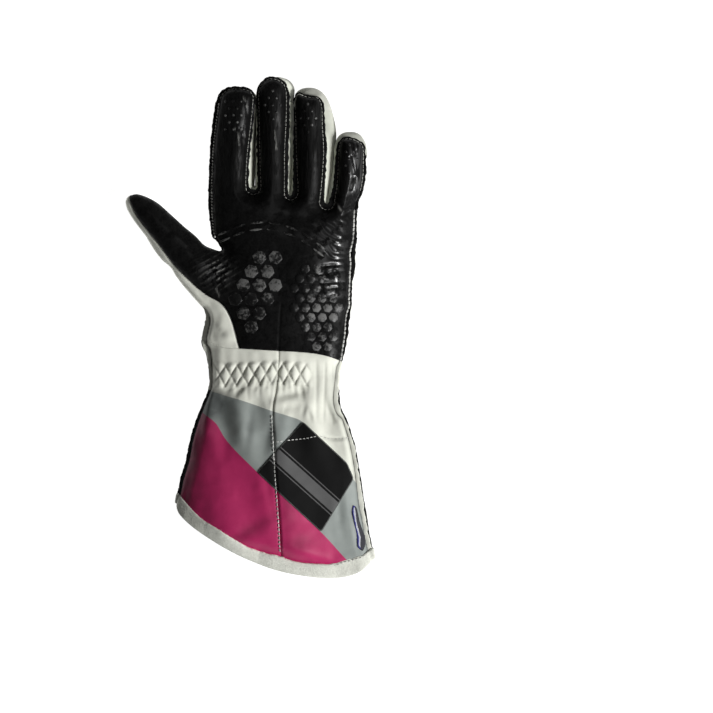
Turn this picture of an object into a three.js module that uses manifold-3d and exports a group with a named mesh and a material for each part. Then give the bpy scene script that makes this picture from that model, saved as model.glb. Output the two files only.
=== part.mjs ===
import * as THREE from 'three';
import { mergeVertices } from 'three/addons/utils/BufferGeometryUtils.js';
import Module from 'manifold-3d';

// A left-hand gauntlet racing glove, empty and lying on its back with the palm up, in millimetres.
// X runs across the hand with the thumb at -X, Y from the cuff to the fingertips, and Z is up.
// Plan places in the tables are measured from a point in the middle of the palm, near the wrist.

// Driving sizes
const LEATHER = 1.6;        // wall of the leather panels
const GAP = 0.3;            // space left between two panels that are sewn together
const LIP = 3.0;            // raw seam allowance that stands outside a row of stitches
const LIP_HALF = 1.3;       // half the thickness of the two leathers at such a seam
const STRIP_HALF = 4.0;     // half the width of the strips between the fingers
const STRIP_DEPTH = 3.6;    // how far a strip's cut reaches into a finger's side
const SIDE_WALL = 2.2;      // wall at the sides of a finger, where the leather turns
const FULLNESS = 0.62;      // below 1 makes a section fuller than an ellipse
const HEM_SWEEP = 0.6;      // below 1 makes the hem's curve fuller than a parabola
const GATHER_STEPS = 4;     // stations of a cross line from one smocked pucker of the wrist to the next
const FOLD_PITCH = 21.0;    // from one soft fold of the cuff to the next
const TOP = 90;             // cutters reach this high, above the whole glove
const REACH = 200;          // and this far to the sides

// Height of the seam between front and back leathers, along the glove
const SEAM = [
  { y: -190, z: 15.0 },
  { y: -110, z: 13.5 },
  { y: -40, z: 11.0 },
  { y: 20, z: 10.5 },
  { y: 80, z: 10.5 },
  { y: 110, z: 12.0 },
  { y: 140, z: 14.5 },
  { y: 180, z: 19.5 },
];

// The hand itself: left and right edge at each y, and how high the front and how deep the back swell
const PALM = [
  { y: -26.0, left: -32.6, right: 63.0, up: 8.0, down: 13.0 },
  { y: -11.9, left: -33.6, right: 66.9, up: 9.5, down: 13.0 },
  { y: -1.4, left: -34.3, right: 67.9, up: 11.5, down: 13.0 },
  { y: 11.9, left: -32.4, right: 70.0, up: 13.0, down: 13.0 },
  { y: 26.6, left: -39.0, right: 70.9, up: 14.0, down: 13.0 },
  { y: 40.6, left: -38.0, right: 71.4, up: 13.5, down: 13.0 },
  { y: 54.6, left: -24.4, right: 72.8, up: 12.5, down: 13.0 },
  { y: 65.1, left: -28.2, right: 73.9, up: 11.5, down: 13.0 },
  { y: 79.1, left: -29.6, right: 75.0, up: 10.5, down: 12.0 },
  { y: 86.5, left: -29.9, right: 75.4, up: 9.5, down: 11.0 },
];

const INDEX = [
  { y: 62.0, left: -25.0, right: 8.0, up: 4.0, down: 8.0 },
  { y: 76.0, left: -28.6, right: 8.0, up: 9.0, down: 11.0 },
  { y: 86.0, left: -29.8, right: 8.0, up: 9.5, down: 11.0 },
  { y: 93.0, left: -29.9, right: 6.0, up: 9.2, down: 9.5 },
  { y: 97.0, left: -29.9, right: -1.2, up: 9.0, down: 9.2 },
  { y: 117.6, left: -29.4, right: -1.0, up: 8.2, down: 8.6 },
  { y: 131.6, left: -28.0, right: 0.7, up: 8.8, down: 8.4 },
  { y: 145.6, left: -26.3, right: 2.1, up: 8.6, down: 8.2 },
  { y: 157.0, left: -24.2, right: 2.8, up: 7.8, down: 7.6 },
];

const MIDDLE = [
  { y: 62.0, left: 1.0, right: 30.0, up: 4.0, down: 8.0 },
  { y: 76.0, left: 1.0, right: 30.0, up: 8.8, down: 11.0 },
  { y: 86.0, left: 1.0, right: 30.0, up: 9.5, down: 11.0 },
  { y: 91.0, left: 1.0, right: 29.8, up: 9.2, down: 9.5 },
  { y: 97.0, left: 4.6, right: 25.4, up: 9.0, down: 9.2 },
  { y: 117.6, left: 4.9, right: 26.6, up: 8.0, down: 8.4 },
  { y: 138.6, left: 4.9, right: 27.3, up: 8.4, down: 8.2 },
  { y: 152.0, left: 5.0, right: 27.3, up: 8.4, down: 8.0 },
  { y: 163.0, left: 5.2, right: 26.6, up: 7.6, down: 7.4 },
];

const RING = [
  { y: 62.0, left: 27.0, right: 59.0, up: 4.0, down: 8.0 },
  { y: 76.0, left: 27.0, right: 58.6, up: 8.6, down: 11.0 },
  { y: 84.0, left: 27.0, right: 58.0, up: 9.5, down: 11.0 },
  { y: 90.0, left: 27.6, right: 53.2, up: 9.2, down: 9.5 },
  { y: 96.0, left: 30.4, right: 54.6, up: 9.0, down: 9.2 },
  { y: 110.0, left: 30.6, right: 55.8, up: 8.0, down: 8.4 },
  { y: 124.0, left: 30.2, right: 57.2, up: 8.4, down: 8.2 },
  { y: 138.0, left: 30.0, right: 58.4, up: 8.4, down: 8.2 },
  { y: 149.0, left: 29.8, right: 57.4, up: 8.2, down: 7.8 },
  { y: 157.0, left: 29.8, right: 55.2, up: 7.6, down: 7.4 },
];

const LITTLE = [
  { y: 62.0, left: 50.0, right: 72.0, up: 4.0, down: 8.0 },
  { y: 74.0, left: 50.5, right: 74.0, up: 8.0, down: 11.0 },
  { y: 82.0, left: 51.0, right: 75.2, up: 8.8, down: 11.0 },
  { y: 88.0, left: 56.2, right: 75.7, up: 8.4, down: 9.5 },
  { y: 96.6, left: 57.8, right: 78.4, up: 8.2, down: 9.0 },
  { y: 107.0, left: 58.8, right: 80.5, up: 7.8, down: 8.2 },
  { y: 119.0, left: 59.8, right: 80.4, up: 7.8, down: 7.8 },
  { y: 128.0, left: 60.9, right: 79.6, up: 7.2, down: 7.2 },
];

// The thumb slants, so its outer and inner edges have an x and a y each
const THUMB = [
  { outer: [-31.0, -4.0], inner: [2.0, 22.0], up: 4.0, down: 13.0 },
  { outer: [-32.4, 5.0], inner: [-8.0, 40.0], up: 10.0, down: 13.0 },
  { outer: [-35.7, 16.1], inner: [-21.7, 52.6], up: 12.0, down: 13.0 },
  { outer: [-45.5, 27.3], inner: [-31.5, 57.1], up: 10.5, down: 12.0 },
  { outer: [-56.7, 42.7], inner: [-41.3, 66.5], up: 9.4, down: 10.0 },
  { outer: [-69.3, 57.1], inner: [-53.9, 77.4], up: 8.6, down: 9.2 },
  { outer: [-79.1, 71.4], inner: [-65.1, 87.5], up: 8.2, down: 8.6 },
  { outer: [-85.4, 80.4], inner: [-75.6, 92.5], up: 7.4, down: 8.0 },
];

// Wrist and cuff: ends of each cross line, how far the line sweeps towards the hem, the swell,
// the depth of the smocked puckers with their shift in pitches, and the depth of the soft folds
const CUFF = [
  { left: [-32.6, -4.0], right: [68.2, -9.0], sweep: 0, up: 10.5, down: 13, pucker: 0, shift: 0, fold: 0 },
  { left: [-34.2, -14.0], right: [66.0, -22.0], sweep: 0, up: 9.6, down: 13, pucker: 0, shift: 0, fold: 0.2 },
  { left: [-32.4, -21.5], right: [64.4, -27.5], sweep: 0, up: 9.0, down: 13, pucker: 0.7, shift: 0, fold: 0 },
  { left: [-31.2, -26.0], right: [63.6, -32.0], sweep: 0, up: 8.6, down: 13, pucker: 0.9, shift: 0.5, fold: 0 },
  { left: [-30.4, -30.5], right: [62.8, -36.5], sweep: 0.3, up: 8.4, down: 13, pucker: 0.9, shift: 0, fold: 0 },
  { left: [-29.6, -35.0], right: [62.0, -41.0], sweep: 0.6, up: 8.4, down: 13, pucker: 0.9, shift: 0.5, fold: 0 },
  { left: [-29.4, -39.5], right: [61.6, -45.5], sweep: 1.2, up: 8.6, down: 13, pucker: 0.7, shift: 0, fold: 0.4 },
  { left: [-32.6, -49.6], right: [64.4, -59.5], sweep: 4.0, up: 10.0, down: 14, pucker: 0.2, shift: 0, fold: 1.1 },
  { left: [-37.8, -62.3], right: [71.4, -77.0], sweep: 8.0, up: 12.4, down: 15, pucker: 0, shift: 0, fold: 1.3 },
  { left: [-42.0, -76.3], right: [75.2, -96.6], sweep: 13, up: 14.6, down: 16, pucker: 0, shift: 0, fold: 1.1 },
  { left: [-45.2, -90.0], right: [78.2, -116.2], sweep: 18, up: 16.4, down: 17, pucker: 0, shift: 0, fold: 0.9 },
  { left: [-49.0, -104.7], right: [81.4, -136.5], sweep: 23, up: 17.8, down: 18, pucker: 0, shift: 0, fold: 0.6 },
  { left: [-51.1, -113.6], right: [84.8, -150.4], sweep: 25.6, up: 18.6, down: 18, pucker: 0, shift: 0, fold: 0.4 },
];

// The hem's binding goes on from the cuff's last cross line, and is a little proud on both sides
const HEM = [
  { left: [-51.2, -114.0], right: [84.9, -150.9], sweep: 25.7, up: 18.6, down: 18, pucker: 0, shift: 0, fold: 0 },
  { left: [-53.6, -121.1], right: [87.5, -159.6], sweep: 27.4, up: 19.4, down: 18, pucker: 0, shift: 0, fold: 0 },
];
const HEM_PROUD = 0.8;

// Dents of the front: middle, depth and radius
const DENTS = [
  { name: 'thumb root', at: [-19, -1], depth: 3.2, radius: 9 },
  { name: 'palm hollow', at: [20, 42], depth: 3.0, radius: 20 },
  { name: 'wrist crease', at: [44, -4], depth: 1.6, radius: 10 },
  { name: 'finger roots', at: [36, 76], depth: 1.6, radius: 16 },
];

// Outline of the white thumb panel on the front, along its border with the black leather
const THUMB_BORDER = [
  [-92.0, 98.0], [-85.0, 91.0], [-80.5, 80.0], [-70.3, 65.8], [-64.0, 58.1], [-54.2, 44.8],
  [-43.4, 33.6], [-35.7, 26.6], [-29.0, 21.7], [-22.4, 18.2], [-18.9, 15.4], [-15.6, 10.5],
  [-13.0, 4.5], [-10.8, -3.2], [-7.7, -14.0],
];

// Line of the seam between hand and cuff, from the thumb's side to the little finger's
const HAND_SEAM = [
  [-45, -11.6], [-25.5, -11.6], [-9.4, -14.2], [19.6, -16.1], [46.2, -18.2], [60.9, -22.4], [75, -25.6],
];

// Line of the seam down the front of the cuff
const CUFF_SEAM = [
  [20.6, 10], [19.6, -15.4], [19.2, -30.8], [17.5, -44.1], [15.8, -53.2], [15.4, -62],
  [16.3, -78.4], [19.2, -120.4], [21.4, -159.6], [22.0, -185],
];

// Corners of the label sewn on the cuff, and of the small tag in its side seam
const LABEL = [[36.4, -65.1], [4.6, -100.1], [49.0, -142.1], [72.0, -107.0]];
const TAG = [[73.5, -124.0], [78.5, -125.0], [82.0, -154.0], [76.5, -154.0]];
const LABEL_THICK = 0.7;

// Stations across each kind of section, and rows of a fingertip's cap
const FINGER_SAMPLES = 8;
const HOLLOW_SAMPLES = 6;
const PALM_SAMPLES = 12;
const PALM_HOLLOW_SAMPLES = 12;
const BACK_STEP = 2;
const CUFF_SAMPLES = 44;
const CUFF_BACK_STEP = 4;
const CUFF_HOLLOW_SAMPLES = 20;
const HEM_SAMPLES = 22;
const CAP_ROWS = 4;
const HOLLOW_CAP_ROWS = 2;
const CAP_END = 0.97;

const wasm = await Module();
wasm.setup();

function seamHeight(y) {
  const after = SEAM.findIndex((knot) => knot.y > y);
  if (after === -1) return SEAM[SEAM.length - 1].z;
  if (after === 0) return SEAM[0].z;
  const a = SEAM[after - 1];
  const b = SEAM[after];
  return a.z + (b.z - a.z) * (y - a.y) / (b.y - a.y);
}

function toSolid(geometry) {
  geometry.deleteAttribute('normal');
  geometry.deleteAttribute('uv');
  const merged = mergeVertices(geometry, 1e-5);
  return new wasm.Manifold(new wasm.Mesh({
    numProp: 3,
    vertProperties: new Float32Array(merged.attributes.position.array),
    triVerts: new Uint32Array(merged.index.array),
  }));
}

function toGeometry(solid) {
  const mesh = solid.getMesh();
  const geometry = new THREE.BufferGeometry();
  geometry.setAttribute('position', new THREE.BufferAttribute(new Float32Array(mesh.vertProperties), 3));
  geometry.setIndex(new THREE.BufferAttribute(new Uint32Array(mesh.triVerts), 1));
  geometry.computeVertexNormals();
  return geometry;
}

// Sum of the front's dents at a place
function dentDepth(x, y) {
  return DENTS.reduce((sum, dent) => {
    const far = Math.hypot(x - dent.at[0], y - dent.at[1]) / dent.radius;
    return sum + dent.depth * Math.exp(-far * far);
  }, 0);
}

// Smocked puckers, counted in stations, and soft folds, measured along a cross line of the cuff
function ripple(row, station, along) {
  const pucker = (row.pucker ?? 0) * Math.cos(2 * Math.PI * (station / GATHER_STEPS + (row.shift ?? 0)));
  const fold = (row.fold ?? 0) * Math.cos(2 * Math.PI * along / FOLD_PITCH);
  return pucker + fold;
}

// One closed cross-section: stations of the front from the left edge to the right, and of the back.
// A lip of flat leather stands out on a side whose lip is above 0. The back keeps every so many stations.
function section(row, samples, backStep) {
  const across = new THREE.Vector2(row.right[0] - row.left[0], row.right[1] - row.left[1]);
  const width = across.length();
  across.normalize();
  const place = (along) => {
    const s = Math.min(1, Math.max(0, along / width));
    const sweep = (row.sweep ?? 0) * Math.pow(4 * s * (1 - s), HEM_SWEEP);
    const x = row.left[0] + across.x * along + across.y * sweep;
    const y = row.left[1] + across.y * along - across.x * sweep;
    return { x, y };
  };
  const dome = width - row.leftLip - row.rightLip;
  const stations = [];
  if (row.leftLip > 0) stations.push({ along: 0, swell: 0, side: 0, onBack: true });
  for (let j = 0; j <= samples; j += 1) {
    const v = row.even ? j / samples : (1 - Math.cos(Math.PI * j / samples)) / 2;
    const swell = Math.pow(Math.max(0, 4 * v * (1 - v)), FULLNESS);
    stations.push({ along: row.leftLip + dome * v, swell, side: v, j, onBack: j % backStep === 0 });
  }
  if (row.rightLip > 0) stations.push({ along: width, swell: 0, side: 1, onBack: true });
  const front = [];
  const back = [];
  for (const { along, swell, side, j, onBack } of stations) {
    const { x, y } = place(along);
    const half = row.leftHalf + (row.rightHalf - row.leftHalf) * side;
    const seam = seamHeight(y);
    const dent = Math.min(1, swell) * (dentDepth(x, y) - ripple(row, j ?? 0, along + row.inset));
    front.push([x, y, seam + half + row.up * swell - dent]);
    if (onBack) back.push([x, y, Math.max(row.floor, seam - half - row.down * swell)]);
  }
  const pairs = stations.flatMap(({ onBack }, i) => (onBack ? [i] : []));
  return { front, back, pairs };
}

// A solid lofted through cross-sections. Its two ends are closed by a strip from front to back.
function loft(rows, samples, backStep = 1) {
  const sections = rows.map((row) => section(row, samples, backStep));
  const { front, back, pairs } = sections[0];
  const positions = sections.flatMap((s) => [...s.front, ...[...s.back].reverse()]).flat();
  const ring = front.length + back.length;
  const faces = [];
  for (let i = 0; i + 1 < sections.length; i += 1) {
    for (let j = 0; j < ring; j += 1) {
      const k = (j + 1) % ring;
      faces.push([i * ring + j, i * ring + k, (i + 1) * ring + j]);
      faces.push([i * ring + k, (i + 1) * ring + k, (i + 1) * ring + j]);
    }
  }
  const last = (sections.length - 1) * ring;
  const closeEnd = (a, b, c) => {
    faces.push([a, c, b], [last + a, last + b, last + c]);
  };
  for (let i = 0; i + 1 < pairs.length; i += 1) {
    const backLeft = ring - 1 - i;
    for (let j = pairs[i]; j < pairs[i + 1]; j += 1) closeEnd(j, j + 1, backLeft);
    closeEnd(pairs[i + 1], backLeft - 1, backLeft);
  }
  // Sections that run the other way along the glove would turn the solid inside out
  const forward = rows[rows.length - 1].left[1] > rows[0].left[1];
  const wound = forward ? faces : faces.map(([a, b, c]) => [a, c, b]);
  const geometry = new THREE.BufferGeometry();
  geometry.setAttribute('position', new THREE.BufferAttribute(new Float32Array(positions), 3));
  geometry.setIndex(wound.flat());
  return toSolid(geometry);
}

// The same row drawn in by the leather's thickness, for the hollow inside
function hollowRow(row, wall, side) {
  const across = new THREE.Vector2(row.right[0] - row.left[0], row.right[1] - row.left[1]).normalize();
  const inLeft = row.leftLip + side;
  const inRight = row.rightLip + side;
  const leftHalf = Math.max(0.4, row.leftHalf - wall);
  const rightHalf = Math.max(0.4, row.rightHalf - wall);
  const half = Math.min(row.leftHalf, row.rightHalf);
  const innerHalf = Math.min(leftHalf, rightHalf);
  return {
    ...row,
    left: [row.left[0] + across.x * inLeft, row.left[1] + across.y * inLeft],
    right: [row.right[0] - across.x * inRight, row.right[1] - across.y * inRight],
    inset: row.inset + inLeft,
    leftLip: 0,
    rightLip: 0,
    leftHalf,
    rightHalf,
    up: Math.max(0.5, row.up + half - wall - innerHalf),
    down: Math.max(0.5, row.down + half - wall - innerHalf),
    floor: row.floor + wall,
    pucker: 0,
  };
}

// Rows that close a finger with a round cap of the given reach beyond its last row
function capRows(last, reach, lipReach, count) {
  const middle = [(last.left[0] + last.right[0]) / 2, (last.left[1] + last.right[1]) / 2];
  const half = [(last.right[0] - last.left[0]) / 2, (last.right[1] - last.left[1]) / 2];
  const length = Math.hypot(reach[0], reach[1]);
  return Array.from({ length: count }, (_, k) => {
    const e = CAP_END * Math.sin((k + 1) / count * Math.PI / 2);
    const narrow = Math.sqrt(1 - e * e);
    const low = Math.sqrt(Math.max(0, 1 - (e * length / (length - lipReach)) ** 2));
    const centre = [middle[0] + reach[0] * e, middle[1] + reach[1] * e];
    const shrink = (value) => LIP_HALF + (value - LIP_HALF) * (1 - e);
    return {
      ...last,
      left: [centre[0] - half[0] * narrow, centre[1] - half[1] * narrow],
      right: [centre[0] + half[0] * narrow, centre[1] + half[1] * narrow],
      leftLip: last.leftLip * narrow,
      rightLip: last.rightLip * narrow,
      leftHalf: shrink(last.leftHalf),
      rightHalf: shrink(last.rightHalf),
      up: last.up * low,
      down: last.down * low,
    };
  });
}

// A finger or thumb: its outer solid and its hollow
function digit(rows, reach, lipReach) {
  const outer = [...rows, ...capRows(rows[rows.length - 1], reach, lipReach, CAP_ROWS)];
  const hollow = rows.map((row) => hollowRow(row, LEATHER, SIDE_WALL));
  const length = Math.hypot(reach[0], reach[1]);
  const shorter = (length - lipReach - LEATHER) / length;
  const innerCap = capRows(hollow[hollow.length - 1], [reach[0] * shorter, reach[1] * shorter], 0, HOLLOW_CAP_ROWS)
    .map((row) => ({ ...row, leftHalf: 0.4, rightHalf: 0.4 }));
  return {
    outer: loft(outer, FINGER_SAMPLES, BACK_STEP),
    hollow: loft([...hollow, ...innerCap], HOLLOW_SAMPLES, BACK_STEP),
  };
}

const plainRow = (row, extra) => ({
  inset: 0, leftLip: 0, rightLip: 0, leftHalf: LIP_HALF, rightHalf: LIP_HALF, floor: 0, even: false, ...row, ...extra,
});

// Table rows that lie straight across the hand
const straightRows = (table, extra) => table.map(({ y, left, right, up, down }) =>
  plainRow({ left: [left, y], right: [right, y], up, down }, extra));

// A block between two heights over a plan outline
function prism(outline, from = -10, to = TOP) {
  const shape = new THREE.Shape(outline.map(([x, y]) => new THREE.Vector2(x, y)));
  const geometry = new THREE.ExtrudeGeometry(shape, { depth: to - from, bevelEnabled: false });
  geometry.translate(0, 0, from);
  return toSolid(geometry);
}

// Everything above, or below, the seam's height moved by an offset
function seamHalf(offset, above) {
  const line = [{ y: -REACH * 1.5, z: SEAM[0].z }, ...SEAM, { y: REACH * 1.5, z: SEAM[SEAM.length - 1].z }];
  const points = line.map((knot) => new THREE.Vector2(knot.y, knot.z + offset));
  const edge = above ? TOP : -10;
  points.push(new THREE.Vector2(REACH * 1.5, edge), new THREE.Vector2(-REACH * 1.5, edge));
  const geometry = new THREE.ExtrudeGeometry(new THREE.Shape(points), { depth: 2 * REACH, bevelEnabled: false });
  geometry.translate(0, 0, -REACH);
  const turned = new THREE.Matrix4().makeBasis(
    new THREE.Vector3(0, 1, 0), new THREE.Vector3(0, 0, 1), new THREE.Vector3(1, 0, 0),
  );
  geometry.applyMatrix4(turned);
  return toSolid(geometry);
}

const moved = (outline, dx, dy) => outline.map(([x, y]) => [x + dx, y + dy]);

function unite(solids) {
  return solids.reduce((sum, solid) => sum.add(solid));
}

// Hand, fingers and thumb as one hollow skin
const sides = {
  palm: { leftLip: LIP, rightLip: LIP },
  index: { leftLip: LIP, rightHalf: STRIP_HALF },
  middle: { leftHalf: STRIP_HALF, rightHalf: STRIP_HALF },
  little: { leftHalf: STRIP_HALF, rightLip: LIP },
};
const palmRows = straightRows(PALM, sides.palm);
const thumbRows = THUMB.map(({ outer, inner, up, down }) => plainRow({ left: outer, right: inner, up, down }));
const digits = [
  digit(straightRows(INDEX, sides.index), [0.6, 11.4], LIP),
  digit(straightRows(MIDDLE, sides.middle), [-0.4, 12.0], 0),
  digit(straightRows(RING, sides.middle), [-1.4, 11.0], 0),
  digit(straightRows(LITTLE, sides.little), [-0.4, 9.2], 0),
  digit(thumbRows, [-5.2, 4.6], 0),
];
const palmHollow = palmRows.map((row) => hollowRow(row, LEATHER, SIDE_WALL));
const palmEnd = palmHollow[palmHollow.length - 1];
palmHollow[palmHollow.length - 1] = {
  ...palmEnd,
  left: [palmEnd.left[0], palmEnd.left[1] - LEATHER],
  right: [palmEnd.right[0], palmEnd.right[1] - LEATHER],
};
const hand = unite([loft(palmRows, PALM_SAMPLES, BACK_STEP), ...digits.map((d) => d.outer)])
  .subtract(unite([loft(palmHollow, PALM_HOLLOW_SAMPLES, BACK_STEP), ...digits.map((d) => d.hollow)]));

// Wrist and cuff, open at both ends
const cuffSides = { leftLip: LIP, rightLip: LIP, even: true };
const cuffRow = ({ left, right, sweep, up, down, pucker, shift, fold }) =>
  plainRow({ left, right, sweep, up, down, pucker, shift, fold }, cuffSides);

// The same cross line made thicker, or drawn in when the distance is below 0
function proudRow(row, distance) {
  const across = new THREE.Vector2(row.right[0] - row.left[0], row.right[1] - row.left[1]).normalize();
  return {
    ...row,
    inset: row.inset - distance,
    left: [row.left[0] - across.x * distance, row.left[1] - across.y * distance],
    right: [row.right[0] + across.x * distance, row.right[1] + across.y * distance],
    leftHalf: row.leftHalf + distance,
    rightHalf: row.rightHalf + distance,
  };
}

// The cross line a little further along the cuff, so that a hollow cuts through the end
function carriedOn(before, last, times) {
  const on = (a, b) => [b[0] + (b[0] - a[0]) * times, b[1] + (b[1] - a[1]) * times];
  return { ...last, left: on(before.left, last.left), right: on(before.right, last.right) };
}

const cuffRows = CUFF.map(cuffRow);
const hemRows = HEM.map(cuffRow);
const hollowRows = [...cuffRows, hemRows[1]].map((row) => hollowRow(row, LEATHER + 0.6 * (row.pucker ?? 0), SIDE_WALL));
const through = [
  carriedOn(hollowRows[1], hollowRows[0], 1),
  ...hollowRows,
  carriedOn(hollowRows[hollowRows.length - 2], hollowRows[hollowRows.length - 1], 1),
];
const cuff = loft(cuffRows, CUFF_SAMPLES, CUFF_BACK_STEP).subtract(loft(through, CUFF_HOLLOW_SAMPLES, BACK_STEP));
const hemHollow = hemRows.map((row) => hollowRow(row, LEATHER + HEM_PROUD, SIDE_WALL + HEM_PROUD));
const hemThrough = [
  carriedOn(hemHollow[1], hemHollow[0], 1),
  ...hemHollow,
  carriedOn(hemHollow[0], hemHollow[1], 1),
];
const hem = loft(hemRows.map((row) => proudRow(row, HEM_PROUD)), HEM_SAMPLES, BACK_STEP)
  .subtract(loft(hemThrough, CUFF_HOLLOW_SAMPLES, BACK_STEP));

// Halves at the seam, and the plan regions of the panels
const front = seamHalf(GAP / 2, true);
const back = seamHalf(-GAP / 2, false);
const handRegion = (offset) => prism([...moved(HAND_SEAM, 0, offset), [REACH, offset], [REACH, REACH],
  [-REACH, REACH], [-REACH, offset]]);
const cuffRegion = prism([...moved(HAND_SEAM, 0, -GAP / 2), [REACH, -25], [REACH, -REACH], [-REACH, -REACH],
  [-REACH, -12]]);
const handOnly = hand.intersect(handRegion(GAP / 2));
const cuffOnly = cuff.intersect(cuffRegion);

// The strips between the fingers: a cut along both finger sides and round the crotch between them
function stripCut(leftFinger, rightFinger, crotch, end, grow) {
  const inside = (table, edge) => table.filter((row) => row.y > crotch && row.y < end)
    .map((row) => [row[edge], row.y]);
  const leftSide = inside(leftFinger, 'right').map(([x, y]) => [x - STRIP_DEPTH - grow, y]);
  const rightSide = inside(rightFinger, 'left').map(([x, y]) => [x + STRIP_DEPTH + grow, y]);
  const close = (side, y) => [side[0], y];
  const outline = [
    close(leftSide[0], crotch - grow),
    ...leftSide,
    close(leftSide[leftSide.length - 1], end + grow),
    close(rightSide[rightSide.length - 1], end + grow),
    ...rightSide.reverse(),
    close(rightSide[rightSide.length - 1], crotch - grow),
  ];
  return prism(outline);
}

const GAPS = [
  { name: 'fourchette_index_middle', left: INDEX, right: MIDDLE, crotch: 90.0, end: 157.0 },
  { name: 'fourchette_middle_ring', left: MIDDLE, right: RING, crotch: 87.0, end: 157.0 },
  { name: 'fourchette_ring_little', left: RING, right: LITTLE, crotch: 81.5, end: 128.0 },
];
const stripBand = seamHalf(-STRIP_HALF, true).intersect(seamHalf(STRIP_HALF, false));
const wideBand = seamHalf(-STRIP_HALF - GAP, true).intersect(seamHalf(STRIP_HALF + GAP, false));
const strips = GAPS.map(({ name, left, right, crotch, end }) => ({
  name,
  solid: handOnly.intersect(stripCut(left, right, crotch, end, 0)).intersect(stripBand),
}));
const stripRoom = unite(GAPS.map(({ left, right, crotch, end }) =>
  stripCut(left, right, crotch, end, GAP))).intersect(wideBand);

// The white back comes over the tips of the ring and little fingers
const ringTip = (grow) => prism([[28.5, 163 - grow], [60, 163 - grow], [60, REACH], [28.5, REACH]]);
const littleTip = (grow) => prism([[59, 132 - grow], [84, 132 - grow], [84, REACH], [60, REACH]]);
const tips = (grow) => ringTip(grow).intersect(prism([[28.5, 150], [62, 150], [62, 200], [28.5, 200]]))
  .add(littleTip(grow).intersect(prism([[59, 120], [84, 120], [84, 145], [59, 145]])));

const thumbSide = (grow) => prism([...moved(THUMB_BORDER, grow, grow), [-7.7, -40], [-REACH, -40], [-REACH, 98]]);

const frontHand = handOnly.intersect(front).subtract(stripRoom).subtract(tips(GAP));
const palmLeather = frontHand.subtract(thumbSide(GAP / 2));
const thumbPanel = frontHand.intersect(thumbSide(-GAP / 2));
const backLeather = handOnly.intersect(back.add(tips(0))).subtract(stripRoom);

const cuffFront = cuffOnly.intersect(front);
const cuffSplit = (offset, toLeft) => {
  const far = toLeft ? -REACH : REACH;
  return prism([...moved(CUFF_SEAM, offset, 0), [far, -185], [far, 10]]);
};
const cuffThumbSide = cuffFront.intersect(cuffSplit(-GAP / 2, true));
const cuffLittleSide = cuffFront.intersect(cuffSplit(GAP / 2, false));
const cuffBack = cuffOnly.intersect(back);

// Label and tag: a thin layer just outside the cuff
const layer = loft(cuffRows.map((row) => proudRow(row, GAP + LABEL_THICK)), CUFF_SAMPLES, CUFF_BACK_STEP)
  .subtract(loft(cuffRows.map((row) => proudRow(row, GAP)), CUFF_SAMPLES, CUFF_BACK_STEP)).intersect(front);
const label = layer.intersect(prism(LABEL));
const tag = layer.intersect(prism(TAG));

const WHITE = { color: 0xdedfd3, roughness: 0.85, metalness: 0 };
const BLACK = { color: 0x0c0c0d, roughness: 0.6, metalness: 0 };
const PRINT = { color: 0xa31d54, roughness: 0.6, metalness: 0 };
const GREY = { color: 0x8d9391, roughness: 0.7, metalness: 0 };

const PIECES = [
  { name: 'palm_leather', solid: palmLeather, look: BLACK },
  { name: 'thumb_panel', solid: thumbPanel, look: WHITE },
  { name: 'back_leather', solid: backLeather, look: WHITE },
  ...strips.map((strip) => ({ ...strip, look: WHITE })),
  { name: 'gauntlet_thumb_side', solid: cuffThumbSide, look: PRINT },
  { name: 'gauntlet_little_side', solid: cuffLittleSide, look: GREY },
  { name: 'gauntlet_back', solid: cuffBack, look: WHITE },
  { name: 'hem_binding', solid: hem, look: WHITE },
  { name: 'label_patch', solid: label, look: BLACK },
  { name: 'seam_tag', solid: tag, look: { color: 0x2f3f96, roughness: 0.7, metalness: 0 } },
];

const glove = new THREE.Group();
glove.name = 'racing_glove';
for (const { name, solid, look } of PIECES) {
  const mesh = new THREE.Mesh(toGeometry(solid), new THREE.MeshStandardMaterial(look));
  mesh.name = name;
  glove.add(mesh);
}

// The origin is the middle of the underside of the whole glove
const bounds = new THREE.Box3().setFromObject(glove);
glove.position.set(-(bounds.min.x + bounds.max.x) / 2, -(bounds.min.y + bounds.max.y) / 2, -bounds.min.z);

export default glove;
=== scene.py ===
"""A left-hand racing glove with a gauntlet cuff, lying on its back with the palm up.

The shapes are worked out in millimetres on a plan whose zero is a point in the palm near the wrist,
with the thumb at -X and the fingertips at +Y, and every mesh is put into the frame in metres. The
numbers in the formulas are places and widths on that plan. The marks that a mesh stores are in
millimetres too, while a shader's bumps and patterns go by metres.
"""

import bmesh
import bpy
import numpy as np
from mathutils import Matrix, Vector


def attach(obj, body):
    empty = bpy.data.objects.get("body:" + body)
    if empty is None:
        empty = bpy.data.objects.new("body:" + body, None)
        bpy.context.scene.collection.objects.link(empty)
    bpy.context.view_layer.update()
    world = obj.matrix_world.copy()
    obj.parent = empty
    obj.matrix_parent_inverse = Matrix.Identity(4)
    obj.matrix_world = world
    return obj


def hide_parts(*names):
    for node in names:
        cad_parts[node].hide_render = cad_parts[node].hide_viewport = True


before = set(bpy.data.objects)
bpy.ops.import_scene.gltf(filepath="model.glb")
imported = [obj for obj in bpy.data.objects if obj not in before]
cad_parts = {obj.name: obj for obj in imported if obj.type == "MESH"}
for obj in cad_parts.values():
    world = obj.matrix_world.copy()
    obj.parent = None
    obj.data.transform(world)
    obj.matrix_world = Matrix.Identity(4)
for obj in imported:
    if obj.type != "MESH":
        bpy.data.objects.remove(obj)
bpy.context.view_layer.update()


# Table, lamps and camera
# The glove lies on a pale table under big soft lamps, the strongest one to its right, and the
# camera looks straight down on it through a long lens.
VIEW_MIDDLE = (0.0735, -0.0211)
VIEW_WIDTH = 0.4991
CAMERA_HEIGHT = 2.0
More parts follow.
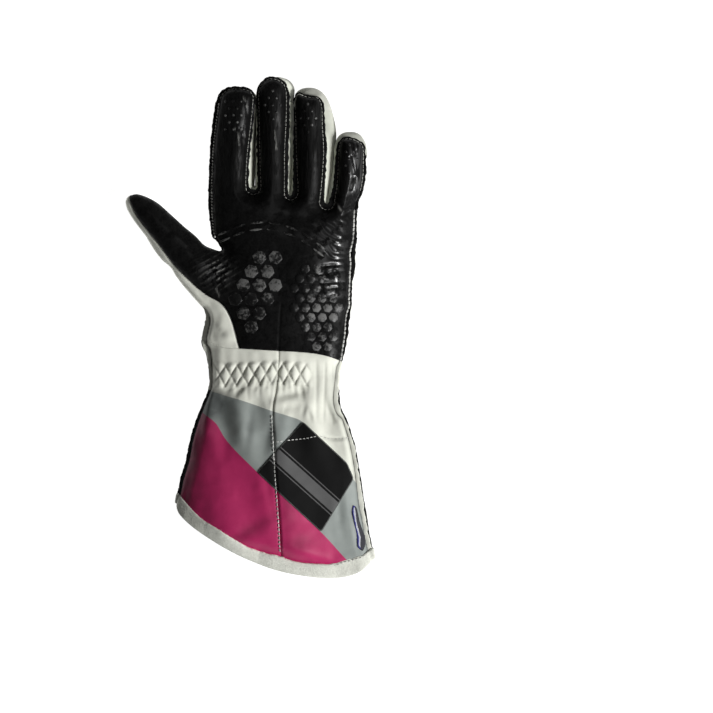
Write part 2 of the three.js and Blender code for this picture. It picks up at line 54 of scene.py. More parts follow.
GLOVE_MIDDLE_HEIGHT = 0.014
SENSOR = 36.0
LAMPS = [
    {"name": "right_lamp", "at": (1.5, -0.68, 1.05), "size": 0.7, "power": 43.0},
    {"name": "high_lamp", "at": (0.5, 0.6, 2.2), "size": 0.9, "power": 2.0},
]
ROOM_LIGHT = 0.05
TABLE_HALF = 3.0
TABLE_DROP = 0.0002
TABLE_GREY = 0.3
TABLE_GLOW = 0.97


def grey(level):
    """A neutral colour."""
    return (level, level, level, 1.0)


def node(tree, kind, inputs=(), **settings):
    """A new shader node. Numbers and colours go into its inputs, and sockets are linked to them."""
    made = tree.nodes.new("ShaderNode" + kind)
    for name, value in settings.items():
        setattr(made, name, value)
    for key, value in dict(inputs).items():
        if isinstance(value, bpy.types.NodeSocket):
            tree.links.new(value, made.inputs[key])
        else:
            made.inputs[key].default_value = value
    return made


def new_material(name, inputs=()):
    """A material with one Principled shader: the material, its tree and the shader."""
    material = bpy.data.materials.new(name)
    material.use_nodes = True
    tree = material.node_tree
    shader = tree.nodes["Principled BSDF"]
    for key, value in dict(inputs).items():
        shader.inputs[key].default_value = value
    return material, tree, shader


def aim(thing, at, target):
    """Puts a lamp or a camera in its place and turns it to the target."""
    thing.location = at
    thing.rotation_euler = (Vector(target) - Vector(at)).to_track_quat("-Z", "Y").to_euler()
    bpy.context.scene.collection.objects.link(thing)


lens = bpy.data.cameras.new("camera")
lens.sensor_width = SENSOR
lens.lens = SENSOR * (CAMERA_HEIGHT - GLOVE_MIDDLE_HEIGHT) / VIEW_WIDTH
camera = bpy.data.objects.new("camera", lens)
aim(camera, (*VIEW_MIDDLE, CAMERA_HEIGHT), (*VIEW_MIDDLE, 0.0))
camera.rotation_euler = (0.0, 0.0, 0.0)
bpy.context.scene.camera = camera

for lamp in LAMPS:
    light = bpy.data.lights.new(lamp["name"], "AREA")
    light.shape = "DISK"
    light.size = lamp["size"]
    light.energy = lamp["power"]
    aim(bpy.data.objects.new(lamp["name"], light), lamp["at"], (*VIEW_MIDDLE, 0.0))

world = bpy.data.worlds.new("soft_room")
world.use_nodes = True
world.node_tree.nodes["Background"].inputs["Color"].default_value = grey(1.0)
world.node_tree.nodes["Background"].inputs["Strength"].default_value = ROOM_LIGHT
bpy.context.scene.world = world
bpy.context.scene.view_settings.view_transform = "Standard"

table_mesh = bpy.data.meshes.new("table")
table_corners = TABLE_HALF * np.array([(-1, -1, 0), (1, -1, 0), (1, 1, 0), (-1, 1, 0)])
table_mesh.from_pydata(table_corners, [], [(0, 1, 2, 3)])
table = bpy.data.objects.new("table", table_mesh)
table.location = (0.0, 0.0, -TABLE_DROP)
bpy.context.scene.collection.objects.link(table)
table_mesh.materials.append(new_material("pale_table", {
    "Base Color": grey(TABLE_GREY), "Roughness": 1.0, "Specular IOR Level": 0.0,
    "Emission Color": grey(1.0), "Emission Strength": TABLE_GLOW,
})[0])


# Outline of the glove
# Flat leather panels are sewn edge to edge, and their raw edges stand outside the row of stitches.
# Each row of these tables is a place on the glove's edge, with the width of the raw edge there.
EDGE_STEP = 0.8
CURVE_STEPS = 14
CUFF_LEFT = [
    (-58.0, -136.0, 2.4), (-53.3, -121.1, 2.4), (-51.1, -113.4, 2.4), (-49.7, -106.4, 2.4),
    (-45.5, -92.4, 2.3), (-42.7, -78.4, 2.2), (-38.5, -64.4, 2.1), (-35.7, -57.4, 2.0),
    (-32.9, -50.4, 1.9), (-30.6, -45.0, 1.8), (-29.4, -39.9, 1.8), (-29.4, -32.2, 2.0),
    (-30.5, -23.8, 2.8), (-32.2, -16.8, 3.6),
]
THUMB_OUTER = [
    (-34.3, -12.6, 3.4), (-34.8, -7.0, 3.4), (-33.6, -1.5, 3.4), (-32.3, 3.5, 3.2),
    (-31.9, 8.0, 2.6), (-32.8, 12.3, 1.6), (-35.7, 16.1, 0.5), (-44.1, 25.5, 0.3),
    (-51.8, 35.0, 0.3), (-56.7, 42.7, 0.3), (-63.0, 48.3, 0.3), (-67.9, 54.6, 0.3),
    (-74.2, 64.8, 0.3), (-82.6, 75.9, 0.3), (-87.2, 84.2, 0.3), (-88.0, 88.6, 0.3),
    (-86.5, 91.7, 0.3),
]
THUMB_INNER = [
    (-83.6, 93.2, 0.3), (-80.1, 93.8, 0.3), (-73.8, 92.0, 0.3), (-65.8, 87.8, 0.3),
    (-57.7, 80.8, 0.3), (-46.9, 71.0, 0.3), (-38.5, 64.0, 0.3), (-32.9, 58.1, 0.4),
    (-25.9, 55.1, 0.6), (-21.6, 54.0, 0.8),
]
INDEX_OUTER = [
    (-20.6, 55.0, 0.9), (-22.2, 57.6, 1.0), (-23.4, 59.9, 1.2), (-25.0, 61.4, 1.8),
    (-27.0, 63.3, 2.2), (-28.0, 67.2, 2.4), (-29.0, 74.2, 2.6), (-29.7, 84.0, 2.8),
    (-29.9, 94.5, 2.8), (-29.4, 110.6, 2.8), (-28.7, 124.6, 2.8), (-27.4, 138.6, 3.0),
    (-25.8, 151.2, 3.2), (-24.1, 158.2, 2.8), (-22.4, 162.8, 2.4), (-19.2, 166.2, 2.2),
    (-14.7, 168.0, 2.0),
]
FINGERS_INNER = [
    (-10.1, 168.3, 2.0), (-4.2, 167.8, 2.0), (1.0, 165.5, 2.0), (3.1, 161.7, 2.0),
    (3.2, 156.1, 2.2), (2.2, 145.6, 2.2), (0.7, 132.3, 2.4), (-0.8, 119.0, 2.4), (-1.3, 107.1, 2.6),
    (-1.2, 99.4, 2.8), (-0.4, 97.2, 3.2), (1.6, 96.4, 3.4), (3.7, 97.2, 3.2), (4.3, 99.4, 3.0),
    (4.2, 110.6, 2.7), (4.2, 131.6, 2.3), (4.3, 149.1, 2.0), (4.2, 163.1, 1.8), (5.2, 168.0, 1.8),
    (7.7, 172.2, 1.8), (11.9, 174.6, 1.8), (15.4, 175.0, 1.8), (20.6, 173.7, 2.0),
    (24.5, 170.4, 2.0), (26.6, 165.2, 2.4), (27.3, 159.6, 2.8), (27.3, 142.1, 3.2),
    (26.6, 124.6, 3.4), (26.2, 107.1, 3.2), (26.0, 95.2, 3.0), (26.4, 93.4, 3.4), (27.6, 92.7, 3.8),
    (28.8, 93.4, 3.9), (29.3, 95.2, 4.0), (29.5, 107.1, 3.4), (29.8, 124.6, 2.4),
    (30.0, 142.1, 1.8), (30.0, 154.0, 1.6), (30.2, 160.0, 1.6), (31.6, 163.4, 1.6),
    (34.4, 164.3, 1.6), (38.1, 162.7, 1.6), (42.3, 161.8, 1.6), (47.2, 161.4, 1.6),
    (50.1, 157.6, 1.8), (51.3, 151.6, 2.0), (51.9, 141.4, 2.4), (53.2, 124.6, 2.8),
    (52.5, 107.1, 3.0), (51.3, 90.0, 3.6), (51.8, 88.0, 4.6), (53.1, 87.2, 5.2), (54.5, 88.0, 4.6),
    (55.2, 90.0, 3.8), (57.0, 98.0, 3.4), (58.1, 107.1, 3.0), (59.1, 119.0, 2.6),
    (60.2, 127.4, 2.2), (61.9, 131.2, 1.8), (64.4, 133.0, 1.6), (68.6, 133.3, 1.6),
    (71.8, 132.9, 1.6),
]
HAND_RIGHT = [
    (74.9, 131.6, 1.6), (78.9, 128.8, 1.8), (80.3, 123.9, 2.2), (80.5, 114.1, 2.4),
    (80.1, 105.0, 2.4), (78.0, 94.5, 2.4), (75.6, 88.9, 2.6), (74.5, 81.2, 2.8), (74.2, 72.1, 2.8),
    (73.9, 61.6, 3.2), (73.2, 52.0, 4.5), (73.0, 44.5, 3.9), (72.3, 37.5, 3.8), (71.1, 32.0, 2.7),
    (70.5, 21.0, 2.5), (70.5, 15.5, 2.4), (69.4, 9.8, 3.0), (68.7, 4.5, 3.2), (68.1, -3.5, 3.0),
    (66.0, -15.4, 2.6),
]
CUFF_RIGHT = [
    (63.9, -23.7, 2.0), (63.2, -27.7, 3.2), (62.1, -34.0, 3.0), (61.8, -43.8, 3.8),
    (62.1, -51.2, 4.4), (63.6, -57.7, 4.2), (66.2, -62.4, 2.8), (68.6, -68.5, 3.0),
    (70.6, -74.9, 3.0), (73.1, -82.4, 3.6), (74.7, -92.0, 3.3), (76.3, -101.7, 3.4),
    (78.2, -113.4, 4.0), (79.7, -124.2, 4.2), (81.2, -132.5, 3.8), (83.4, -146.0, 3.9),
    (87.0, -161.0, 4.0), (91.0, -174.0, 4.0),
]
SEAM_HALF = 1.3
STRIP_HALF = 4.0
HALF_BLEND = 160
FRONT_ROUGH = 0.46
FRONT_SEED = 3
NOISE_GRID = 64
NOISE_SHIFT = 640.0
AT_ONCE = 2000


def run_along(line):
    """Length along a line on the plan, from its start to each of its points."""
    return np.concatenate([[0], np.cumsum(np.hypot(*np.diff(line[:, :2], axis=0).T))])


def rows_at(line, run, places):
    """The rows of a line at places between its points, where run is each point's own place."""
    return np.column_stack([np.interp(places, run, line[:, k]) for k in range(line.shape[1])])


def curve_through(points, step=EDGE_STEP):
    """A smooth curve through rows of numbers, resampled at even steps on the plan. Between two rows
    it is the centripetal Catmull-Rom mix of the four rows around them."""
    p = np.asarray(points, float)
    p = np.vstack([2 * p[0] - p[1], p, 2 * p[-1] - p[-2]])
    knots = np.concatenate([[0], np.cumsum(np.sqrt(np.hypot(*np.diff(p[:, :2], axis=0).T)))])
    a, b, c, d = (p[i:len(p) - 3 + i, None, :] for i in range(4))
    ta, tb, tc, td = (knots[i:len(p) - 3 + i, None, None] for i in range(4))
    t = tb + (tc - tb) * np.linspace(0, 1, CURVE_STEPS, endpoint=False)[None, :, None]

    def mix(u, v, tu, tv):
        return ((tv - t) * u + (t - tu) * v) / (tv - tu)

    ab, bc, cd = mix(a, b, ta, tb), mix(b, c, tb, tc), mix(c, d, tc, td)
    fine = mix(mix(ab, bc, ta, tc), mix(bc, cd, tb, td), tb, tc).reshape(-1, p.shape[1])
    fine = np.vstack([fine, p[-2]])
    run = run_along(fine)
    return rows_at(fine, run, np.linspace(0, run[-1], int(run[-1] / step) + 2))


def normals_right(line):
    """Unit vectors on the plan that point to the right of a line's direction."""
    along = np.gradient(line[:, :2], axis=0)
    along /= np.hypot(*along.T)[:, None]
    return np.column_stack([along[:, 1], -along[:, 0]])


def even_out(values, times):
    """Smooths a row of values: each becomes half itself and a quarter of each neighbour."""
    for _ in range(times):
        middle = (values[:-2] + 2 * values[1:-1] + values[2:]) / 4
        values = np.concatenate([values[:1], middle, values[-1:]])
    return values


def in_square(grid, i, j, fu, fv):
    """Value inside a square of a grid: its four corners mixed by how far in it lies."""
    low = grid[i, j] * (1 - fu) + grid[i + 1, j] * fu
    high = grid[i, j + 1] * (1 - fu) + grid[i + 1, j + 1] * fu
    return low * (1 - fv) + high * fv


def soft_noise(x, y, size, seed):
    """Smooth random value from -1 to 1: random numbers on a grid of that size, eased between its
    points. The grid's last row and column are its first again, so it repeats with no step."""
    grid = np.random.default_rng(seed).uniform(-1, 1, (NOISE_GRID, NOISE_GRID))
    grid[-1] = grid[0]
    grid[:, -1] = grid[:, 0]
    u, v = x / size + NOISE_SHIFT, y / size + NOISE_SHIFT
    i, j = np.floor(u).astype(int), np.floor(v).astype(int)
    fu, fv = u - i, v - j
    fu, fv = fu * fu * (3 - 2 * fu), fv * fv * (3 - 2 * fv)
    return in_square(grid, i % (NOISE_GRID - 1), j % (NOISE_GRID - 1), fu, fv)


def sewn_edge(stretches, rough, seed):
    """The glove's edge, a little uneven: rows of x, y, raw width and half the thickness."""
    line = curve_through([(*point, half) for table, half in stretches for point in table])
    line[:, 3] = even_out(line[:, 3], HALF_BLEND)
    wobble = soft_noise(line[:, 0], line[:, 1], 2.3, seed)
    wobble = wobble + 0.6 * soft_noise(line[:, 0], line[:, 1], 1.1, seed + 1)
    line[:, :2] -= rough * (wobble * np.minimum(line[:, 2] / 2, 1))[:, None] * normals_right(line)
    return line


def moved_right(line, distance, guide):
    """A copy of an edge, moved by a distance to the right of its smooth guide."""
    moved = line.copy()
    moved[:, :2] += distance * normals_right(guide)
    return moved


FRONT_STRETCHES = [
    (CUFF_LEFT, SEAM_HALF), (THUMB_OUTER, SEAM_HALF), (THUMB_INNER, SEAM_HALF),
    (INDEX_OUTER, SEAM_HALF), (FINGERS_INNER, STRIP_HALF), (HAND_RIGHT, SEAM_HALF),
    (CUFF_RIGHT, SEAM_HALF),
]
front_edge = sewn_edge(FRONT_STRETCHES, FRONT_ROUGH, FRONT_SEED)
smooth_edge = sewn_edge(FRONT_STRETCHES, 0.0, FRONT_SEED)
valley = moved_right(smooth_edge, smooth_edge[:, 2:3], smooth_edge)


def nearest(line, x, y):
    """Distance from each place to a line of points, and how far along the line, in points, the
    nearest place is: the foot of the perpendicular on every stretch, held to its ends, and the
    shortest kept."""
    a = line[:-1, :2].astype(np.float32)
    v = line[1:, :2].astype(np.float32) - a
    length2 = np.maximum((v ** 2).sum(1), 1e-9)
    px, py = np.ravel(x).astype(np.float32), np.ravel(y).astype(np.float32)
    far = np.empty(len(px))
    along = np.empty(len(px))
    for start in range(0, len(px), AT_ONCE):
        part = slice(start, start + AT_ONCE)
        dx = px[part, None] - a[:, 0]
        dy = py[part, None] - a[:, 1]
        t = np.clip((dx * v[:, 0] + dy * v[:, 1]) / length2, 0, 1)
        d2 = (dx - t * v[:, 0]) ** 2 + (dy - t * v[:, 1]) ** 2
        k = d2.argmin(1)
        rows = np.arange(len(k))
        far[part] = np.sqrt(d2[rows, k])
        along[part] = k + t[rows, k]
    return far.reshape(np.shape(x)), along.reshape(np.shape(x))


def inside(loop, x, y):
    """True where a place is inside a loop: a ray to its right crosses it an odd number of times."""
    a = loop[:, :2].astype(np.float32)
    b = np.roll(a, -1, axis=0)
    slope = (b[:, 0] - a[:, 0]) / np.where(b[:, 1] == a[:, 1], 1e-9, b[:, 1] - a[:, 1])
    px, py = np.ravel(x).astype(np.float32), np.ravel(y).astype(np.float32)
    found = np.empty(len(px), bool)
    for start in range(0, len(px), AT_ONCE):
        part = slice(start, start + AT_ONCE)
        spans = (a[:, 1] > py[part, None]) != (b[:, 1] > py[part, None])
        crossing = a[:, 0] + (py[part, None] - a[:, 1]) * slope
        found[part] = (spans & (px[part, None] < crossing)).sum(1) % 2 == 1
    return found.reshape(np.shape(x))


def between(line, start, end):
    """The stretch of a line between the points nearest to two places."""
    first = np.hypot(*(line[:, :2] - start).T).argmin()
    last = np.hypot(*(line[:, :2] - end).T).argmin()
    return line[first:last + 1] if first <= last else line[last:first + 1][::-1]


# Height of the front
# An empty glove puffs up between its seams: the leather rises steeply from each row of stitches and
# then runs on as one broad, low swell, with a few dents and gathered folds.
SEAM_Y = [-190, -110, -40, 20, 80, 110, 140, 180]
SEAM_Z = [15.0, 13.5, 11.0, 10.5, 10.5, 12.0, 14.5, 19.5]
RISE_STEEP = 5.5
STEEP_REACH = 8.0
LOW_AT_CUFF = 0.65
SHORTER_AT_THUMB = 4.5
LONGER_AT_OUTER_SIDE = 5.0
NEAR_EDGE = 7.0
SWELL_Y = [-172, -140, -110, -75, -45, -25, 0, 30, 60, 90, 120, 170]
SWELL_UP = [12.5, 11.5, 10.0, 7.5, 3.6, 4.2, 7.2, 8.6, 7.6, 5.4, 4.8, 4.2]
SWELL_REACH = [62, 60, 58, 54, 45, 42, 40, 38, 36, 32, 30, 28]
DENTS = [
    {"at": (-22.4, 9.0), "depth": 0.3, "size": (3.0, 4.4)},
    {"at": (-19.6, -2.8), "depth": 0.6, "size": (3.6, 3.6)},
    {"at": (18.0, 44.0), "depth": 2.6, "size": (20.0, 17.0)},
    {"at": (40.0, 0.0), "depth": 1.4, "size": (11.0, 9.0)},
    {"at": (36.0, 78.0), "depth": 1.5, "size": (22.0, 9.0)},
    {"at": (-48.0, 52.0), "depth": 0.8, "size": (9.0, 7.0)},
]
RASTER_STEP = 2.0
RASTER_BLUR = 8
raster_x = np.arange(-100.0, 102.0, RASTER_STEP)
raster_y = np.arange(-186.0, 184.0, RASTER_STEP)


def round_up(x):
    """A quarter circle: steep at 0 and level from 1 on."""
    return np.sqrt(1 - (1 - np.clip(x, 0, 1)) ** 2)


def ease(x):
    """Rises from 0 to 1 with level ends: ease((x - a) / b) begins at a and is full b further on."""
    x = np.clip(x, 0, 1)
    return x * x * (3 - 2 * x)


def bell(far, wide):
    """1 where far is 0, less on both sides: e to the power of minus (far over wide) squared."""
    return np.exp(-(far / wide) ** 2)


def mound(x, y, at, size, turn=0.0):
    """1 at a place and less all round: a bell across times a bell along, turned by an angle."""
    u, v = x - at[0], y - at[1]
    c, s = np.cos(turn), np.sin(turn)
    return bell(u * c + v * s, size[0]) * bell(v * c - u * s, size[1])


def spread(raster, times):
    """Smooths a raster: each value becomes half itself and a quarter of its neighbours."""
    for _ in range(times):
        raster[1:-1] = (raster[:-2] + 2 * raster[1:-1] + raster[2:]) / 4
        raster[:, 1:-1] = (raster[:, :-2] + 2 * raster[:, 1:-1] + raster[:, 2:]) / 4
    return raster


def sample(raster, x, y):
    """Value of a raster between its points, by the four around each place."""
    u = np.clip((x - raster_x[0]) / RASTER_STEP, 0, len(raster_x) - 1.001)
    v = np.clip((y - raster_y[0]) / RASTER_STEP, 0, len(raster_y) - 1.001)
    i, j = u.astype(int), v.astype(int)
    return in_square(raster, i, j, u - i, v - j)


def swell_rasters(line, up_scale):
    """Two rasters for a seam line: the broad swell, a sine of the distance to the seam, and half
    the seam's thickness, where near parts of the line weigh more."""
    gx, gy = np.meshgrid(raster_x, raster_y, indexing="ij")
    far, _ = nearest(line, gx, gy)
    far = np.where(inside(line, gx, gy), far, 0)
    reach = np.interp(gy, SWELL_Y, SWELL_REACH)
    up = up_scale * np.interp(gy, SWELL_Y, SWELL_UP)
    broad = spread(up * np.sin(np.pi / 2 * np.minimum(far / reach, 1)), RASTER_BLUR)
    few = line[::5]
    weight = 1 / ((gx[..., None] - few[:, 0]) ** 2 + (gy[..., None] - few[:, 1]) ** 2 + 6) ** 2
    return broad, (weight * few[:, 3]).sum(2) / weight.sum(2)


front_swell, front_half = swell_rasters(valley, 1.0)


def above_seam(line, swell, x, y):
    """Height over the seam, and the distance to the stitches, which is below 0 on the raw edge: a
    steep quarter circle plus the broad swell. It is lower at the cuff's little side, steeper at the
    thumb's base and gentler at the palm's outer side."""
    far, _ = nearest(line, x, y)
    close = far < NEAR_EDGE
    outside = np.zeros(np.shape(x), bool)
    outside[close] = ~inside(line, x[close], y[close])
    signed = np.where(outside, -far, far)
    little_cuff = ease((x - 10) / 40) * ease((-20 - y) / 15)
    thumb_base = ease((-13 - x) / 9) * ease((34 - y) / 12) * ease((y + 15) / 9)
    outer_palm = ease((x - 38) / 12) * ease((y - 14) / 12) * ease((90 - y) / 12)
    steep = RISE_STEEP * (1 - LOW_AT_CUFF * little_cuff)
    reach = STEEP_REACH - SHORTER_AT_THUMB * thumb_base + LONGER_AT_OUTER_SIDE * outer_palm
    rise = steep * round_up(signed / reach) + sample(swell, x, y) * ease(signed / 9)
    return np.where(outside, 0, rise), signed


def front_height(x, y):
    """Height of the front's skin, and the distance to the stitches: the seam's own height, half its
    thickness, the puff between the seams less the dents, and the raw edge's curl."""
    rise, signed = above_seam(valley, front_swell, x, y)
    inner = ease(signed / 8)
    for dent in DENTS:
        rise = rise - inner * dent["depth"] * mound(x, y, dent["at"], dent["size"])
    rise = rise + inner * (0.5 * soft_noise(x, y, 17.0, 11) + 0.22 * soft_noise(x, y, 6.5, 12))
    out = np.clip(-signed, 0, None)
    curl = 0.35 * soft_noise(x, y, 5.0, 13) * np.clip(out / 2, 0, 1)
    curl = curl - 0.05 * out * ease(-x / 20) * ease((40 - y) / 20)
    return np.interp(y, SEAM_Y, SEAM_Z) + sample(front_half, x, y) + rise + curl, signed


# Palm leather
# Black leather covers the palm, the fronts of the fingers and the thumb's front. It is one hide a
# little over a millimetre thick, with raw edges outside its stitches and a pressed middle line.
MM = 0.001
PALM_POINT = np.array([-0.32, -1.145, 0.0])
MERGED = 0.04
SLIVER = 0.02
PLAN_STEP = 0.7
LEATHER = 1.3
RAW_BLACK = grey(0.006)
PALM_BLACKS = (grey(0.0014), (0.0032, 0.0032, 0.0031, 1.0))
SCUFF_AND_HIGHLIGHT_GREY = (0.36, 0.36, 0.34, 1.0)
LEAST_SHINE = 0.1
MOST_SHINE = 0.9
HAND_SEAM = [
    (-37.0, -8.2), (-31.2, -9.3), (-24.4, -12.0), (-19.6, -13.4), (-9.4, -14.3), (3.5, -15.1),
    (19.6, -16.1), (32.9, -16.8), (46.2, -18.2), (55.3, -20.3), (60.9, -22.4), (63.7, -23.5),
]
THUMB_BORDER = [
    (-85.0, 90.3), (-80.5, 79.8), (-70.3, 65.8), (-64.0, 58.1), (-54.2, 44.8), (-43.4, 33.6),
    (-35.7, 26.6), (-29.0, 21.7), (-22.4, 18.2), (-18.9, 15.4), (-15.6, 10.5), (-12.9, 4.5),
    (-10.7, -3.1), (-9.4, -8.4), (-7.7, -14.0),
]
CREASES = [
    ((-7.6, 139.0), (-3.4, 131.0), 0.5, 0.8), ((-5.6, 133.5), (-4.2, 123.5), 0.5, 0.8),
    ((-3.4, 157.0), (-1.8, 147.0), 0.5, 0.7), ((23.0, 133.0), (24.6, 122.0), 0.5, 0.8),
    ((10.0, 140.0), (11.0, 118.0), 0.25, 0.8), ((71.0, 127.0), (72.5, 121.0), 1.1, 1.0),
    ((69.5, 119.0), (72.0, 108.0), 1.1, 1.0), ((72.0, 105.0), (70.0, 97.0), 1.0, 1.0),
    ((76.0, 92.0), (66.0, 84.0), 0.6, 1.2), ((74.0, 86.0), (64.0, 78.0), 0.6, 1.2),
    ((-26.0, 25.5), (-23.5, 18.5), 0.5, 0.7), ((-8.0, 70.0), (12.0, 74.0), 0.3, 1.5),
]
# Pale lines along creases of the palm and fingers: partly scuffs, partly painted highlights.
SCUFF_AND_HIGHLIGHT_LINES = [
    ((-24.5, 28.7), (-21.7, 21.7)), ((-10.5, 138.6), (-6.3, 130.2)), ((-4.9, 161.0), (-2.8, 154.0)),
    ((16.4, 137.0), (18.0, 124.6)), ((59.0, 88.0), (63.0, 82.0)), ((-8.5, 134.5), (-8.0, 127.5)),
]
PALM_CREASE = [(21.4, 16.0), (20.4, 5.0), (19.6, -15.4)]
CREASE_DEPTH = 0.45
BORDER_DEPTH = 2.0
OUTER_WRINKLE = {"depth": 1.6, "pitch": 5.6}
ROOT_CREASE = {"depth": 1.4, "pitch": 4.5}
WORN_ROOT = {"at": (-24.0, 38.0), "size": (11.0, 9.0), "much": 1.3}
hand_seam = curve_through(HAND_SEAM)
thumb_border = curve_through(THUMB_BORDER)
palm_crease = curve_through(PALM_CREASE)


def closed(loop):
    """A loop of points with its first one again at its end."""
    return np.vstack([loop, loop[:1]])


def plan_sheet(loop, step=PLAN_STEP):
    """Quads that fill a closed loop on the plan: the squares of a grid whose middles lie inside it,
    with the outermost corners pulled on to the loop."""
    low = loop[:, :2].min(0) - step
    nx, ny = np.ceil((loop[:, :2].max(0) + step - low) / step).astype(int)
    grid_x = low[0] + step * np.arange(nx + 1)
    grid_y = low[1] + step * np.arange(ny + 1)
    middles = np.meshgrid(grid_x[:-1] + step / 2, grid_y[:-1] + step / 2, indexing="ij")
    i, j = np.nonzero(inside(loop, *middles))
    corner = i * (ny + 1) + j
    quads = np.column_stack([corner, corner + ny + 1, corner + ny + 2, corner + 1])
    used, quads = np.unique(quads, return_inverse=True)
    quads = quads.reshape(-1, 4)
    x, y = grid_x[used // (ny + 1)], grid_y[used % (ny + 1)]
    sides = np.sort(np.concatenate([quads[:, [k, (k + 1) % 4]] for k in range(4)]), axis=1)
    pairs, count = np.unique(sides, axis=0, return_counts=True)
    rim = np.unique(pairs[count == 1])
    border = closed(loop[:, :2])
    _, along = nearest(border, x[rim], y[rim])
    x[rim], y[rim] = rows_at(border, np.arange(len(border)), along).T
    return x, y, quads


def grid_faces(rows, columns, close_rows=False, close_columns=False):
    """Quads of a grid of points, which may close on itself either way."""
    i = np.arange(rows if close_rows else rows - 1)[:, None]
    j = np.arange(columns if close_columns else columns - 1)[None, :]
    i2, j2 = (i + 1) % rows, (j + 1) % columns
    corners = [i * columns + j, i2 * columns + j, i2 * columns + j2, i * columns + j2]
    return np.stack([np.broadcast_to(c, (i.size, j.size)) for c in corners], axis=2).reshape(-1, 4)


def new_piece(name, points, faces, materials, replaced=(), wall=0.0, marks=(), inner=0):
    """A finished piece from points in millimetres. A wall thickens it inwards, marks are values
    stored at its points, and inner is the number of the material inside the wall."""
    mesh = bpy.data.meshes.new(name)
    mesh.from_pydata((np.asarray(points) + PALM_POINT) * MM, [], np.asarray(faces))
    for mark, values in dict(marks).items():
        layer = mesh.attributes.new(mark, "FLOAT", "POINT")
        layer.data.foreach_set("value", np.ravel(values).astype(np.float32))
    shell = bmesh.new()
    shell.from_mesh(mesh)
    bmesh.ops.remove_doubles(shell, verts=shell.verts, dist=MERGED * MM)
    bmesh.ops.dissolve_degenerate(shell, edges=shell.edges, dist=SLIVER * MM)
    shell.to_mesh(mesh)
    shell.free()
    mesh.shade_smooth()
    for material in materials:
        mesh.materials.append(material)
    piece = bpy.data.objects.new(name, mesh)
    bpy.context.scene.collection.objects.link(piece)
    if wall:
        thick = piece.modifiers.new("wall", "SOLIDIFY")
        thick.thickness = wall * MM
        thick.offset = -1
        thick.use_even_offset = False
        thick.material_offset = inner
        thick.material_offset_rim = inner
    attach(piece, "root")
    if replaced:
        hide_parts(*replaced)


def stored(tree, mark):
    """The value of a mark that is stored at a piece's points."""
    return node(tree, "Attribute", attribute_name=mark).outputs["Fac"]


def object_place(tree):
    """The place on the piece, in metres."""
    return node(tree, "TexCoord").outputs["Object"]


def cloudy(tree, place, scale, detail, rough=0.5):
    """Cloudy noise with so many clouds to the metre."""
    return node(tree, "TexNoise", {"Vector": place, "Scale": scale, "Detail": detail,
                                   "Roughness": rough}).outputs["Fac"]


def ranged(tree, value, low=0.0, high=1.0, to_low=0.0, to_high=1.0, **settings):
    """A value carried from one range to another and held to its ends."""
    ends = {"From Min": low, "From Max": high, "To Min": to_low, "To Max": to_high}
    return node(tree, "MapRange", {"Value": value, **ends}, **settings).outputs["Result"]


def reckoned(tree, operation, *values, **settings):
    """One operation on values or numbers."""
    return node(tree, "Math", dict(enumerate(values)), operation=operation, **settings).outputs[0]


def blend(tree, share, first, second, kind="RGBA"):
    """Goes from the first colour, or value, to the second as the share goes from 0 to 1."""
    return node(tree, "Mix", {"Factor": share, "A": first, "B": second},
                data_type=kind).outputs["Result"]


def bumped(tree, height, strength, distance, **under):
    """A normal tilted by a height, laid over another one where it is given."""
    return node(tree, "Bump", {"Height": height, "Strength": strength, "Distance": distance,
                               **under}).outputs[0]


def wire(tree, target, inputs):
    """Links values to a shader's inputs, or to a group's outputs."""
    for name, socket in inputs.items():
        tree.links.new(socket, target.inputs[name])


def new_group(name, inputs, outputs):
    """A shader group with number inputs and outputs: its tree, input node and output node."""
    group = bpy.data.node_groups.new(name, "ShaderNodeTree")
    for way, sockets in (("INPUT", inputs), ("OUTPUT", outputs)):
        for socket in sockets:
            group.interface.new_socket(socket, in_out=way, socket_type="NodeSocketFloat")
    return group, group.nodes.new("NodeGroupInput"), group.nodes.new("NodeGroupOutput")


def hide_grain_group():
    """Leather grain: rounded cells with creases between them, fine pores, slow unevenness, and a
    coarser crumple, even or drawn out into streaks."""
    group, given, made = new_group("hide_grain", ["Cells"],
                                   ["Height", "Patches", "Crumple", "Streaks"])
    place = object_place(group)
    drawn = node(group, "Mapping", {"Vector": place, "Scale": (1.0, 0.16, 1.0)}).outputs[0]
    cells = node(group, "TexVoronoi", {"Vector": place, "Scale": given.outputs["Cells"],
                                       "Randomness": 0.9}, feature="DISTANCE_TO_EDGE")
    crease = ranged(group, cells.outputs["Distance"], 0.0, 0.12, interpolation_type="SMOOTHSTEP")
    wire(group, made, {
        "Height": reckoned(group, "ADD", crease, cloudy(group, place, 2600.0, 2.0)),
        "Patches": cloudy(group, place, 60.0, 3.0),
        "Crumple": cloudy(group, place, 170.0, 4.0, 0.6),
        "Streaks": cloudy(group, drawn, 420.0, 4.0, 0.65),
    })
    return group


hide_grain = hide_grain_group()


